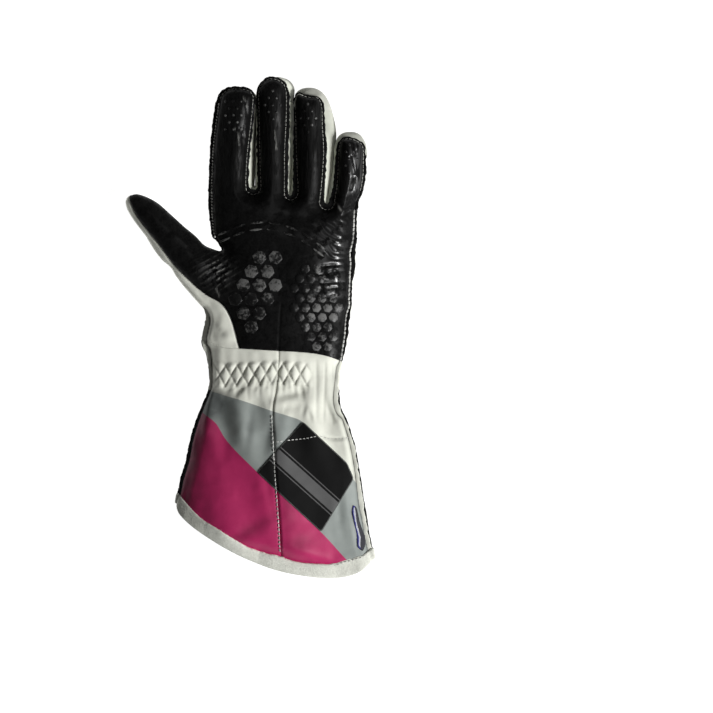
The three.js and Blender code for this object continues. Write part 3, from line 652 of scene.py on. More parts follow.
def black_hide_material():
    """Matt black leather: fine grain, a faint grey bloom in patches, lighter raw edges, pale
    marks that are partly scuffs and partly painted highlights on crease crests, and a broken gloss
    that is stronger where the leather is rubbed."""
    material, tree, shader = new_material("black_hide", {
        "Specular IOR Level": 0.09, "Coat Roughness": 0.3, "Coat IOR": 1.9})
    grain = node(tree, "Group", {"Cells": 900.0}, node_tree=hide_grain).outputs
    patch = ranged(tree, grain["Patches"], 0.4, 0.7)
    raw = ranged(tree, stored(tree, "from_stitches"), -1.2, -3.0)
    edged = blend(tree, raw, blend(tree, patch, *PALM_BLACKS), RAW_BLACK)
    broken = ranged(tree, grain["Streaks"], 0.42, 0.56)
    # The pale grey share stands for scuffs and for painted highlights on crease crests.
    scuff_and_highlight_share = reckoned(tree, "MULTIPLY", stored(tree, "scuff_and_highlight"), broken, use_clamp=True)
    wrinkles = blend(tree, stored(tree, "finger"), grain["Crumple"], grain["Streaks"], "FLOAT")
    shine = reckoned(tree, "MAXIMUM", stored(tree, "worn"), LEAST_SHINE)
    flecks = reckoned(tree, "MULTIPLY_ADD", ranged(tree, wrinkles, 0.43, 0.52), shine, 0.02)
    crumpled = bumped(tree, wrinkles, 0.8, 0.0016)
    wire(tree, shader, {
        "Base Color": blend(tree, scuff_and_highlight_share, edged, SCUFF_AND_HIGHLIGHT_GREY),
        "Roughness": ranged(tree, grain["Patches"], to_low=0.55, to_high=0.8),
        "Coat Weight": reckoned(tree, "MINIMUM", flecks, MOST_SHINE),
        "Normal": bumped(tree, grain["Height"], 0.5, 0.0002, Normal=crumpled),
    })
    return material


black_hide = black_hide_material()


def lifted_sheet(loop, folds):
    """A plan sheet raised to the front's height with folds: points, faces, and distances to the
    stitches."""
    x, y, faces = plan_sheet(loop)
    z, signed = front_height(x, y)
    return np.column_stack([x, y, z + folds(x, y) * ease(signed / 5)]), faces, signed


def on_line(line, wide, x, y):
    """1 on a line of points and less on both sides of it, as a bell."""
    return bell(nearest(np.asarray(line), x, y)[0], wide)


def border_valley(x, y):
    """The shallow valley where the palm's leather and the thumb's base are sewn to each other."""
    fade = ease((y + 15) / 7) * ease((44 - y) / 16)
    return -BORDER_DEPTH * fade * on_line(thumb_border, 4.5, x, y)


def ridge(turns):
    """A row of sharp creases between round folds: the size of a sine, upside down."""
    return 1 - np.abs(np.sin(np.pi * turns))


def outer_side(x, y):
    """1 on the wrinkled outer side of the palm, and 0 well away from it."""
    return bell(x - 55, 9) * ease((y - 16) / 8) * ease((84 - y) / 16)


def thumb_root(x, y):
    """1 in the middle of the creased place at the thumb's root and 0 away from it, and the count of
    its slanting creases."""
    across = y - 0.58 * x + 1.2 * soft_noise(x, y, 8.0, 22)
    return mound(x, y, (-26, 39), (9, 8)), across / ROOT_CREASE["pitch"]


def palm_folds(x, y):
    """The valley at the thumb, the groove along the palm's middle line, wrinkles across its outer
    side, slanting ones at the thumb's root, and single creases. Each is a valley or a wave that
    fades out all round."""
    bend = y + 2.6 * soft_noise(x, y, 6.5, 21) + 0.7 * (x - 55) * ease((y - 40) / 20)
    wrinkles = (0.75 + 0.5 * soft_noise(x, y, 5.0, 23)) * ridge(bend / OUTER_WRINKLE["pitch"])
    root, lean = thumb_root(x, y)
    height = border_valley(x, y) - CREASE_DEPTH * on_line(palm_crease, 0.7, x, y)
    height = height - OUTER_WRINKLE["depth"] * outer_side(x, y) * wrinkles
    height = height - ROOT_CREASE["depth"] * root * ridge(lean)
    for start, end, depth, wide in CREASES:
        height = height - depth * on_line([start, end], wide, x, y)
    return height


palm_loop = np.vstack([
    between(front_edge, (-85.0, 93.0), (66.8, -22.5))[:, :2],
    between(hand_seam, (66.8, -23.7), (-7.7, -14.0)),
    thumb_border[::-1],
])
points, faces, signed = lifted_sheet(palm_loop, palm_folds)
x, y, _ = points.T
little_side = bell(x - 73, 4) * ease((y - 92) / 8) * ease((132 - y) / 8)
worn_root = WORN_ROOT["much"] * mound(x, y, WORN_ROOT["at"], WORN_ROOT["size"])
root, lean = thumb_root(x, y)
# Pale marks on the crests of the thumb root's folds and along single creases: partly scuffs, partly
# painted highlights.
scuff_and_highlight = 1.3 * root * np.abs(np.sin(np.pi * lean)) ** 20 * (0.4 + ease((x + 32) / 12))
for scratch in SCUFF_AND_HIGHLIGHT_LINES:
    scuff_and_highlight = np.maximum(scuff_and_highlight, 0.6 * on_line(scratch, 0.6, x, y))
new_piece("palm_front", points, faces, [black_hide], ["palm_leather"],
          wall=LEATHER, marks={"from_stitches": signed, "scuff_and_highlight": scuff_and_highlight,
                               "finger": ease((y - 88) / 14),
                               "worn": np.clip(outer_side(x, y) + little_side + worn_root, 0, 1)})


# Thumb side
# Soft white leather covers the outer side of the thumb and its base. It is sewn to the palm along a
# shallow valley, and is darker along the side seam where it turns into the wrist, with spots of
# painted shade in its dents.
WHITE_LIGHT = (0.86, 0.87, 0.775, 1.0)
WHITE_SHADE = (0.76, 0.77, 0.68, 1.0)
GRIME_AND_SHADE_BROWN = (0.07, 0.07, 0.058, 1.0)
NAP_CLOUDS = 120.0
NAP_FIBRES = 3200.0
# Soft spots of painted shade in the thumb panel's dents and folds: place, width, height and
# strength.
THUMB_SHADE_SPOTS = [
    (-20.6, 9.5, 2.4, 3.4, 0.18), (-19.2, -4.6, 2.7, 2.7, 0.5), (-21.6, -1.6, 2.4, 2.8, 0.5),
    (-23.8, 1.4, 2.4, 3.2, 0.48), (-27.6, 0.0, 3.4, 8.0, 0.33), (-78.0, 76.0, 5.0, 12.0, 0.5),
    (-64.0, 52.0, 8.0, 9.0, 0.25),
]


def nap_group():
    """Suede nap: clouds of lighter and darker nap, a fine felted height, and rubbed specks."""
    group, given, made = new_group("suede_nap", ["Clouds", "Fibre"], ["Cloud", "Height", "Speck"])
    place = object_place(group)
    wire(group, made, {
        "Cloud": cloudy(group, place, given.outputs["Clouds"], 5.0, 0.62),
        "Height": cloudy(group, place, given.outputs["Fibre"], 4.0, 0.7),
        "Speck": ranged(group, cloudy(group, place, 700.0, 3.0, 0.7), 0.35, 0.65),
    })
    return group


suede_nap = nap_group()


def grime_and_shade_group():
    """Darkening beside a row of stitches, and painted shade wherever a piece's crease mark asks for
    it: strongest at them, and broken up.
    """
    group, given, made = new_group("seam_grime_and_shade", ["Distance", "Crease"], ["GrimeAndShade"])
    far = reckoned(group, "ABSOLUTE", given.outputs["Distance"])
    near = ranged(group, far, 2.2, 0.0, to_high=0.45, interpolation_type="SMOOTHSTEP")
    line = ranged(group, far, 0.75, 0.2, interpolation_type="SMOOTHSTEP")
    close = reckoned(group, "MAXIMUM", near, line)
    both = reckoned(group, "MAXIMUM", close, given.outputs["Crease"])
    broken = ranged(group, cloudy(group, object_place(group), 160.0, 3.0), to_low=0.5, to_high=1.2)
    wire(group, made, {"GrimeAndShade": reckoned(group, "MULTIPLY", both, broken, use_clamp=True)})
    return group


seam_grime_and_shade = grime_and_shade_group()


def white_parts(tree, light, shade, clouds=NAP_CLOUDS):
    """What white leather shares: its nap's values, its darkening by grime and painted shade, and
    the colour that they give.
    """
    nap = node(tree, "Group", {"Clouds": clouds, "Fibre": NAP_FIBRES}, node_tree=suede_nap).outputs
    grime_and_shade = node(tree, "Group", {"Distance": stored(tree, "from_stitches"),
                                 "Crease": stored(tree, "crease")}, node_tree=seam_grime_and_shade).outputs[0]
    clean = blend(tree, ranged(tree, nap["Cloud"], 0.3, 0.7), shade, light)
    return nap, grime_and_shade, blend(tree, grime_and_shade, clean, GRIME_AND_SHADE_BROWN)


def white_hide_material(name, light, shade):
    """White leather with a short nap, painted greyer where its crease mark puts shade."""
    material, tree, shader = new_material(name, {
        "Roughness": 0.82, "Specular IOR Level": 0.3, "Sheen Weight": 0.12, "Sheen Roughness": 0.5})
    nap, _, colour = white_parts(tree, light, shade)
    wire(tree, shader, {"Base Color": colour, "Normal": bumped(tree, nap["Height"], 0.35, 0.0002)})
    return material


white_hide = white_hide_material("white_hide", WHITE_LIGHT, WHITE_SHADE)
thumb_loop = np.vstack([
    between(front_edge, (-34.7, -8.8), (-85.0, 93.0))[:, :2],
    thumb_border,
    between(hand_seam, (-7.7, -14.0), (-34.4, -8.8)),
])


def thumb_folds(x, y):
    """The valley at the palm, and soft folds that run from the wrist into the thumb."""
    run = (x + 22) * 0.92 + (y + 2) * 0.3
    return border_valley(x, y) + 0.2 * np.cos(run * 2 * np.pi / 11.5) * bell(y, 13)


def seam_dark_line(signed):
    """The dark line just inside a row of stitches, by the distance to them."""
    return 1.7 * bell(signed - 0.25, 0.65)


points, faces, signed = lifted_sheet(thumb_loop, thumb_folds)
x, y, _ = points.T
points[:, 2] -= 0.9 * on_line(thumb_border, 1.1, x, y)
# Darker along the seam below the thumb's base, and spots of painted shade in the panel's dents.
darkening = seam_dark_line(signed) * ease((18 - y) / 12)
for at_x, at_y, wide, tall, much in THUMB_SHADE_SPOTS:
    darkening = np.maximum(darkening, much * mound(x, y, (at_x, at_y), (wide, tall)))
beside = np.where(signed < 0, -5.0 * signed, 1.5 * signed) + 9.0 * ease((y - 4) / 10)
new_piece("thumb_side", points, faces, [white_hide], ["thumb_panel"], wall=LEATHER,
          marks={"from_stitches": beside, "crease": darkening})


# Back of the hand
# White leather makes the whole back, flat where the glove lies on it. It closes the fingertips,
# wraps over those of the ring and little fingers, and its raw edge backs the palm's along the
# seams.
BACK_FINGERS = [
    (-10.1, 168.3, 2.0), (-4.2, 167.8, 2.0), (1.0, 165.5, 1.5), (3.3, 161.7, 1.0),
    (3.4, 156.1, 1.0), (3.2, 145.6, 1.0), (3.0, 131.6, 1.0), (2.7, 114.1, 1.0), (2.3, 101.0, 1.0),
    (2.4, 99.6, 1.0), (2.7, 99.6, 1.0), (2.8, 101.0, 1.0), (3.1, 114.1, 1.0), (3.5, 131.6, 1.0),
    (3.7, 149.1, 1.0), (4.0, 163.1, 1.0), (5.0, 168.0, 1.2), (7.7, 172.2, 1.5), (11.9, 174.6, 1.5),
    (15.4, 175.2, 1.5), (21.7, 174.9, 1.2), (26.8, 172.9, 1.0), (30.1, 168.0, 1.0),
    (30.0, 161.7, 1.0), (29.2, 152.6, 1.0), (28.7, 131.6, 1.0), (28.2, 107.1, 1.0),
    (27.5, 97.5, 1.0), (27.5, 96.4, 1.0), (27.9, 96.4, 1.0), (28.1, 97.5, 1.0), (28.7, 107.1, 1.0),
    (29.2, 131.6, 1.0), (29.6, 145.1, 1.0), (29.8, 155.4, 1.0), (30.5, 161.7, 1.0),
    (32.4, 165.5, 1.0), (36.4, 167.6, 1.0), (40.6, 168.1, 1.0), (44.8, 167.6, 1.0),
    (49.3, 165.3, 1.0), (52.7, 161.2, 1.0), (55.2, 156.0, 1.0), (57.2, 149.5, 1.0),
    (58.9, 141.5, 1.0), (59.5, 134.4, 1.0), (58.4, 123.2, 1.0), (56.6, 107.1, 1.0),
    (53.9, 93.0, 1.0), (53.9, 91.4, 1.0), (54.3, 91.4, 1.0), (54.5, 93.0, 1.0), (57.0, 107.1, 1.0),
    (58.7, 121.0, 1.0), (60.0, 129.5, 1.0), (61.8, 134.0, 1.0), (65.1, 136.5, 1.0),
    (69.3, 137.1, 1.0), (73.5, 136.6, 1.2),
]
BACK_RIGHT = [(77.0, 134.4, 1.5), (79.6, 129.6, 1.8), *HAND_RIGHT[2:]]
BACK_STRETCHES = [
    *FRONT_STRETCHES[:4], (BACK_FINGERS, STRIP_HALF), (BACK_RIGHT, SEAM_HALF), FRONT_STRETCHES[-1],
]
BACK_ROUGH = 0.25
BACK_SEED = 31
BACK_STEP = 0.9
FULLER_BACK = 1.35
BAND_ROWS = 12
FLOOR_BLEND = 0.6
FINGERTIP_SOIL = 0.36
FAR_FROM_STITCHES = 9.0
back_edge = sewn_edge(BACK_STRETCHES, BACK_ROUGH, BACK_SEED)
back_smooth = sewn_edge(BACK_STRETCHES, 0.0, BACK_SEED)
back_valley = moved_right(back_smooth, back_smooth[:, 2:3], back_smooth)
back_swell, back_half = swell_rasters(back_valley, FULLER_BACK)


def back_height(x, y):
    """Height of the back's skin, and the distance to the stitches: the seam's height less half its
    thickness and the puff, bent level near the table: half of z plus the root of z squared and a
    bit."""
    rise, signed = above_seam(back_valley, back_swell, x, y)
    z = np.interp(y, SEAM_Y, SEAM_Z) - sample(back_half, x, y) - rise
    return (z + np.sqrt(z * z + FLOOR_BLEND)) / 2, signed


def turned_over(faces):
    """The same faces seen from the other side."""
    return np.asarray(faces)[:, ::-1]


hand_back_loop = np.vstack([
    between(back_edge, (-34.7, -8.8), (66.8, -22.5))[:, :2],
    between(hand_seam, (66.8, -23.7), (-34.4, -8.8)),
])
x, y, faces = plan_sheet(hand_back_loop, BACK_STEP)
z, signed = back_height(x, y)
back_points = np.column_stack([x, y, z])


def resampled(line, count):
    """The same line with that many points, evenly spaced."""
    return rows_at(line, np.arange(len(line)), np.linspace(0, len(line) - 1, count))


def split_rail(line, start, middle, end, count):
    """A stretch of an edge from start to end with half its points on either side of the middle."""
    first = resampled(between(line, start, middle), count)
    second = resampled(between(line, middle, end), count)
    return np.vstack([first, second[1:]])


def side_band(ends, count=90):
    """The leather between the front's edge and the back's: straight lines from one to the other,
    pushed out by a sine over their width. The ends are three places on each: start, middle and
    end."""
    front_rail = split_rail(smooth_edge, *ends["front"], count)
    back_rail = split_rail(back_smooth, *ends["back"], count)
    out = -normals_right(front_rail)
    front_z = np.interp(front_rail[:, 1], SEAM_Y, SEAM_Z) + front_rail[:, 3] - 0.8
    back_z = np.interp(back_rail[:, 1], SEAM_Y, SEAM_Z) - back_rail[:, 3] + 0.3
    t = np.linspace(0, 1, BAND_ROWS)[None, :, None]
    top = np.column_stack([front_rail[:, :2] - out * 0.9, front_z])[:, None, :]
    bottom = np.column_stack([back_rail[:, :2] + out * 0.2, back_z])[:, None, :]
    push = np.column_stack([out, np.full(len(out), 0.25)])[:, None, :]
    uneven = 1 + 0.35 * soft_noise(front_rail[:, 0], front_rail[:, 1], 9.0, 41)[:, None, None]
    grid = top * (1 - t) + bottom * t + push * ends["bulge"] * np.sin(np.pi * t) ** 0.8 * uneven
    return grid.reshape(-1, 3), grid_faces(len(front_rail), BAND_ROWS)


def joined(rows):
    """Several sets of points and faces as one."""
    starts = np.cumsum([0] + [len(points) for points, _ in rows[:-1]])
    return (np.vstack([points for points, _ in rows]),
            np.vstack([faces + start for (_, faces), start in zip(rows, starts)]))


TIPS = [
    {"front": ((-24.1, 158.2), (-10.1, 168.3), (2.6, 163.6)), "bulge": 0.4,
     "back": ((-24.1, 158.2), (-10.1, 168.3), (2.9, 163.8))},
    {"front": ((5.0, 167.2), (11.9, 174.6), (18.4, 174.5)), "bulge": 0.4,
     "back": ((4.9, 167.4), (11.9, 174.6), (18.9, 175.2))},
    {"front": ((30.1, 158.0), (40.2, 162.2), (51.3, 151.6)), "bulge": 1.3,
     "back": ((29.8, 158.0), (42.0, 168.0), (57.0, 150.0))},
    {"front": ((60.6, 128.4), (68.6, 133.3), (80.4, 121.0)), "bulge": 1.3,
     "back": ((60.1, 128.4), (69.3, 137.1), (80.5, 120.5))},
]
points, faces = joined([(back_points, turned_over(faces)), *(side_band(tip) for tip in TIPS)])
clean_thumb = ease((-22 - x) / 6) * ease((y - 2) / 10)
beside = np.full(len(points), FAR_FROM_STITCHES)
beside[:len(x)] = np.abs(signed) * (1 + 2 * clean_thumb) + 0.9 * clean_thumb
fingertips = ease((points[:, 1] - 60) / 30)
new_piece("hand_back", points, faces, [white_hide], ["back_leather"],
          wall=LEATHER, marks={"from_stitches": beside, "crease": FINGERTIP_SOIL * fingertips})


# Strips between the fingers
# A narrow white strip joins front and back along the sides of two neighbouring fingers and round
# the bottom of the gap between them. It bulges a little out of the gap.
STRIPS = {
    "strip_index_middle": {"node": "fourchette_index_middle", "bulge": 0.7, "dark": 0.3,
                           "front": ((2.6, 163.6), (1.8, 96.4), (5.0, 167.2)),
                           "back": ((2.9, 163.8), (2.55, 99.4), (4.9, 167.4))},
    "strip_middle_ring": {"node": "fourchette_middle_ring", "bulge": 0.8, "dark": 0.5,
                          "front": ((18.0, 174.6), (27.6, 92.7), (30.1, 158.0)),
                          "back": ((18.5, 175.2), (27.7, 96.2), (29.8, 158.0))},
    "strip_ring_little": {"node": "fourchette_ring_little", "bulge": 1.4, "dark": 0.6,
                          "front": ((51.3, 151.6), (53.1, 87.2), (60.6, 128.4)),
                          "back": ((57.0, 150.0), (54.1, 91.2), (60.1, 128.4))},
}
STRIP_WALL = 0.9
STRIP_POINTS = 150
# A lighter copy of the white hide: painted light to offset the shade inside the gaps.
strip_hide_painted_lighter = white_hide_material("strip_hide_painted_lighter", (0.88, 0.90, 0.79, 1.0), (0.78, 0.80, 0.69, 1.0))
for name, strip in STRIPS.items():
    points, faces = side_band(strip, STRIP_POINTS)
    rows = len(points) // BAND_ROWS
    down = np.tile(np.linspace(0, 1, BAND_ROWS), rows)
    along = np.repeat(np.linspace(0, 1, rows), BAND_ROWS)
    little_tip = ease((points[:, 0] - 45) / 8) * ease((points[:, 1] - 128) / 10)
    # Painted shade: darker from part way down each strip, deep in the gap, and near the little
    # finger's tip; at both ends it eases to a steady 0.3.
    darkening = 0.95 * ease((down - strip["dark"]) / 0.25) + 0.38 * little_tip
    darkening = 0.3 + (darkening - 0.3) * ease(along / 0.07) * ease((1 - along) / 0.07)
    new_piece(name, points, faces, [strip_hide_painted_lighter], [strip["node"]], wall=STRIP_WALL,
              marks={"from_stitches": np.full(len(points), FAR_FROM_STITCHES),
                     "crease": np.clip(darkening, 0, 1)})


# Front of the cuff
# Two printed leather panels meet at a stitched seam. Elastic gathers them into smocked diamonds at
# the wrist. They are white there, then printed grey and magenta down to the hem.
CUFF_SEAM = [
    (19.6, -15.4), (19.2, -30.8), (17.5, -44.1), (15.8, -53.2), (15.4, -62.0), (16.3, -78.4),
    (17.6, -100.0), (19.2, -120.4), (20.6, -140.0), (21.4, -159.6), (21.8, -168.0),
]
HEM_INNER = [
    (-50.7, -115.6), (-48.6, -118.2), (-35.7, -131.6), (-17.9, -142.8), (0.0, -153.3),
    (21.4, -159.6), (31.5, -162.8), (44.8, -164.5), (57.4, -164.2), (65.8, -161.7), (78.4, -158.2),
    (84.6, -153.8),
]
HEM_OUTER = [
    (-52.0, -122.8), (-50.6, -128.6), (-45.5, -134.4), (-35.7, -142.1), (-17.9, -153.3),
    (0.0, -162.4), (17.9, -169.1), (35.7, -172.9), (53.6, -174.6), (67.0, -173.6), (77.4, -169.6),
    (86.0, -161.4),
]
GREY_LINE = [
    (-60.0, -38.0), (-25.9, -44.8), (-16.8, -47.6), (-9.1, -49.7), (1.4, -53.2), (13.3, -57.4),
    (26.6, -61.6), (36.2, -65.6), (64.5, -95.0), (70.0, -103.5), (74.0, -108.5), (95.0, -125.0),
]
MAGENTA_LINE = [
    (-60.0, -44.0), (-31.5, -60.9), (-24.5, -66.5), (-16.8, -78.4), (4.6, -100.1), (49.0, -142.1),
    (65.8, -160.5), (90.0, -185.0),
]
DIAMOND_PITCH = 8.15
DIAMOND_START = -18.1
DIAMOND_TOP = 10.6
DIAMOND_LEAN = 0.12
DIAMOND_DROP = 14.0
SIDE_FOLDS = [(46.0, 0.0, 1.3, 1.0), (52.3, 0.03, 1.1, 1.0), (57.2, 0.0, 1.0, 0.8)]
# Each dent's darkening paints the shade in it.
CUFF_DENTS = [
    {"at": (35.8, -43.5), "size": (1.9, 5.5), "depth": 1.8, "turn": 0.12, "darkening": 0.5},
    {"at": (27.5, -46.2), "size": (7.5, 2.7), "depth": 1.8, "turn": 0.16, "darkening": 0.3},
    {"at": (28.0, -51.8), "size": (6.5, 3.2), "depth": -1.1, "turn": 0.1, "darkening": 0.0},
    {"at": (42.5, -53.0), "size": (4.5, 6.0), "depth": -0.8, "turn": 0.0, "darkening": 0.0},
    {"at": (37.0, -57.5), "size": (2.0, 4.5), "depth": 0.9, "turn": -0.2, "darkening": 0.2},
    {"at": (41.5, -61.5), "size": (1.8, 4.0), "depth": 0.9, "turn": 0.3, "darkening": 0.3},
    {"at": (13.2, -51.5), "size": (2.4, 4.0), "depth": 0.7, "turn": 0.2, "darkening": 0.3},
    {"at": (-6.5, -42.0), "size": (2.0, 6.0), "depth": 1.5, "turn": -0.7, "darkening": 0.5},
    {"at": (4.5, -38.5), "size": (1.5, 5.0), "depth": 0.9, "turn": -0.4, "darkening": 0.4},
    {"at": (11.5, -38.0), "size": (1.5, 4.5), "depth": 0.8, "turn": -0.3, "darkening": 0.3},
    {"at": (26.5, -38.0), "size": (1.5, 4.5), "depth": 0.8, "turn": -0.1, "darkening": 0.35},
    {"at": (-14.0, -40.0), "size": (1.8, 5.0), "depth": 0.9, "turn": -0.5, "darkening": 0.4},
    {"at": (-1.0, -70.0), "size": (3.0, 13.0), "depth": 1.0, "turn": -0.1, "darkening": 0.55},
    {"at": (-24.0, -55.0), "size": (7.0, 8.0), "depth": 0.4, "turn": 0.0, "darkening": 0.65},
    {"at": (24.0, -58.0), "size": (3.0, 6.0), "depth": 0.7, "turn": -0.5, "darkening": 0.4},
    {"at": (21.0, -62.0), "size": (3.5, 12.0), "depth": 0.2, "turn": 0.0, "darkening": 0.5},
    {"at": (12.0, -78.0), "size": (4.0, 12.0), "depth": 1.0, "turn": -0.2, "darkening": 0.2},
    {"at": (12.5, -112.0), "size": (3.5, 16.0), "depth": 1.0, "turn": 0.15, "darkening": 0.1},
    {"at": (26.5, -118.0), "size": (6.0, 30.0), "depth": 0.6, "turn": 0.0, "darkening": 0.55},
    {"at": (0.0, -141.0), "size": (22.0, 5.0), "depth": 0.6, "turn": 0.55, "darkening": 0.65},
    {"at": (33.0, -150.0), "size": (12.0, 7.0), "depth": 0.4, "turn": 0.1, "darkening": 0.55},
    {"at": (54.0, -56.0), "size": (2.5, 8.0), "depth": 0.8, "turn": 0.3, "darkening": 0.0},
    {"at": (62.0, -128.0), "size": (3.0, 14.0), "depth": 0.8, "turn": 0.1, "darkening": 0.0},
]
CROSS_ROW = [
    (17.2, -79.6), (25.2, -78.4), (37.0, -77.2), (47.8, -75.6), (55.0, -77.4), (62.0, -77.5),
    (70.3, -76.4),
]
CUFF_STEP = 0.62
HEM_POINTS = 240
DYED_FROM = -43.5
PRINT_SOFT = 0.15
GREYS = ((0.27, 0.30, 0.285, 1.0), (0.35, 0.38, 0.36, 1.0))
MAGENTAS = ((0.43, 0.018, 0.105, 1.0), (0.56, 0.03, 0.15, 1.0))
GREY_UNDER_GRIME_AND_SHADE = (0.05, 0.055, 0.055, 1.0)
MAGENTA_UNDER_GRIME_AND_SHADE = (0.08, 0.004, 0.02, 1.0)
cuff_seam = curve_through(CUFF_SEAM)
cross_row = curve_through(CROSS_ROW)
hem_inner = curve_through(HEM_INNER)
hem_outer = curve_through(HEM_OUTER)
hem_middle = (resampled(hem_inner, HEM_POINTS) + resampled(hem_outer, HEM_POINTS)) / 2


def below_seam(x, y):
    """Distance down the cuff from the seam between hand and cuff."""
    return np.interp(x, hand_seam[:, 0], hand_seam[:, 1]) - y


def off_whole(turns):
    """How far a count of turns is from the nearest whole one."""
    return np.abs(turns - np.round(turns))


def smocking(x, y):
    """The gathered wrist: height, and a crease mark that paints shade in its lines and folds. Two
    families of slanting lines cross in diamonds, each diamond is a small pillow, and below them
    straight folds run out. A few folds at the right side are straight all the way."""
    down = below_seam(x, y)
    column = (x - DIAMOND_START + 0.5 * soft_noise(x, y, 9.0, 51)) / DIAMOND_PITCH
    step = (down - DIAMOND_TOP + DIAMOND_LEAN * np.clip(x, -20, 20)) / DIAMOND_DROP
    low = DIAMOND_DROP * step
    first, second = column + step, column - step
    pillow = np.abs(np.sin(np.pi * first) * np.sin(np.pi * second)) ** 0.7
    line_far = 0.88 * DIAMOND_PITCH * np.minimum(off_whole(first), off_whole(second))
    left = ease((x + 30) / 4)
    diamonds = left * ease((low + 3) / 4) * ease((17 - low) / 3.5) * ease((44 - x) / 7)
    line = bell(line_far, 0.55) * ease((low + 1.5) / 2) * ease((16 - low) / 2)
    line = left * line * ease((43 - x) / 6)
    tail = bell(DIAMOND_PITCH * off_whole(column), 1.4)
    tail = tail * ease((low - 12) / 3) * ease((28 - low) / 14)
    tail = tail * ease((x + 14) / 6) * ease((46 - x) / 6)
    heads = ease(down / 3) * ease((3 - low) / 6) * ease((x + 28) / 6) * ease((44 - x) / 6)
    side = ease((down - 2) / 8) * ease((52 - down) / 14) * ease((x - 40) / 5)
    side = side * sum(much * bell(x - at + slope * down, wide)
                      for at, slope, wide, much in SIDE_FOLDS)
    height = 1.7 * diamonds * pillow - 0.6 * line - 0.7 * tail
    height = height * (0.85 + 0.35 * soft_noise(x, y, 7.0, 52))
    height = height + 0.18 * heads * np.sin(np.pi * column) ** 2 - 0.5 * side
    return height, np.clip(0.55 * line + 0.15 * tail + 0.2 * side, 0, 1)


def cuff_folds(x, y, sewn=1.0):
    """Everything that shapes the cuff's front, as height and crease: the smocked wrist, the groove
    of its seam, the groove of the stitches that cross the cuff, the dip beside the hem, soft folds
    below the wrist, a few broad waves, and single dents. The crease is painted shade in the
    smocking, in the grooves and in some of the dents. With sewn at 0 the dips at the seam and the
    hem are left out."""
    height, crease = smocking(x, y)
    down = below_seam(x, y)
    seam_far, _ = nearest(cuff_seam, x, y)
    groove = bell(seam_far, 0.95) * (0.45 + 0.55 * ease((down - 8) / 12))
    seam_dip = ease((down + 3) / 4) * (1.1 * groove + 0.9 * bell(seam_far, 5.5))
    hem_dip = (0.5 - 1.1 * ease((x - 50) / 14)) * on_line(hem_inner, 4.5, x, y)
    cross_far = y - np.interp(x, cross_row[:, 0], cross_row[:, 1])
    cross_groove = ease((x - 48) / 3) * bell(cross_far, 1.3)
    folds = np.cos(2 * np.pi * (x + 0.16 * (y + 50) + 9.1) / 24.5)
    folds = folds * ease((down - 28) / 12) * ease((88 - down) / 30)
    broad = np.cos(2 * np.pi * (x + 0.35 * y + 20) / 47) * ease((down - 60) / 30)
    height = height + 1.6 * folds + 0.9 * broad - 0.7 * cross_groove - sewn * (seam_dip + hem_dip)
    crease = np.maximum(crease, np.maximum(0.55 * groove, 0.22 * cross_groove))
    for dent in CUFF_DENTS:
        hollow = mound(x, y, dent["at"], dent["size"], dent["turn"])
        height = height - dent["depth"] * hollow
        crease = np.maximum(crease, dent["darkening"] * hollow)
    return height, crease


def printed_material():
    """Printed leather: white, grey and magenta zones from their distances to two print lines, each
    darkened by grime and painted shade, with a slight gloss where it is printed, and black raw
    edges at the thumb's side."""
    material, tree, shader = new_material("printed_hide", {"Specular IOR Level": 0.35})
    nap, grime_and_shade, white = white_parts(tree, WHITE_LIGHT, WHITE_SHADE)
    grey_zone = ranged(tree, stored(tree, "past_grey_line"), -PRINT_SOFT, PRINT_SOFT)
    magenta_zone = ranged(tree, stored(tree, "past_magenta_line"), -PRINT_SOFT, PRINT_SOFT)
    # Grime and painted shade darken each print colour towards its own dark tone.
    grime_and_shade_share = reckoned(tree, "MULTIPLY", grime_and_shade, 0.8)
    greys = blend(tree, grime_and_shade_share, blend(tree, nap["Cloud"], *GREYS), GREY_UNDER_GRIME_AND_SHADE)
    magentas = blend(tree, grime_and_shade_share, blend(tree, nap["Cloud"], *MAGENTAS), MAGENTA_UNDER_GRIME_AND_SHADE)
    zones = blend(tree, magenta_zone, blend(tree, grey_zone, white, greys), magentas)
    dyed = ranged(tree, stored(tree, "black_edge"), 0.45, 0.55)
    printed = ranged(tree, grey_zone, to_low=0.82, to_high=0.5)
    uneven = ranged(tree, nap["Cloud"], to_low=-0.08, to_high=0.08)
    wire(tree, shader, {
        "Base Color": blend(tree, dyed, zones, RAW_BLACK),
        "Roughness": reckoned(tree, "ADD", printed, uneven),
        "Normal": bumped(tree, nap["Height"], 0.3, 0.00015),
    })
    return material


printed_hide = printed_material()


def past_line(line, x, y):
    """How far a place lies below a line that runs from left to right."""
    rows = curve_through(line, 1.0)
    slope = np.gradient(rows[:, 1], rows[:, 0])
    drop = np.interp(x, rows[:, 0], rows[:, 1]) - y
    return drop / np.sqrt(1 + np.interp(x, rows[:, 0], slope) ** 2)


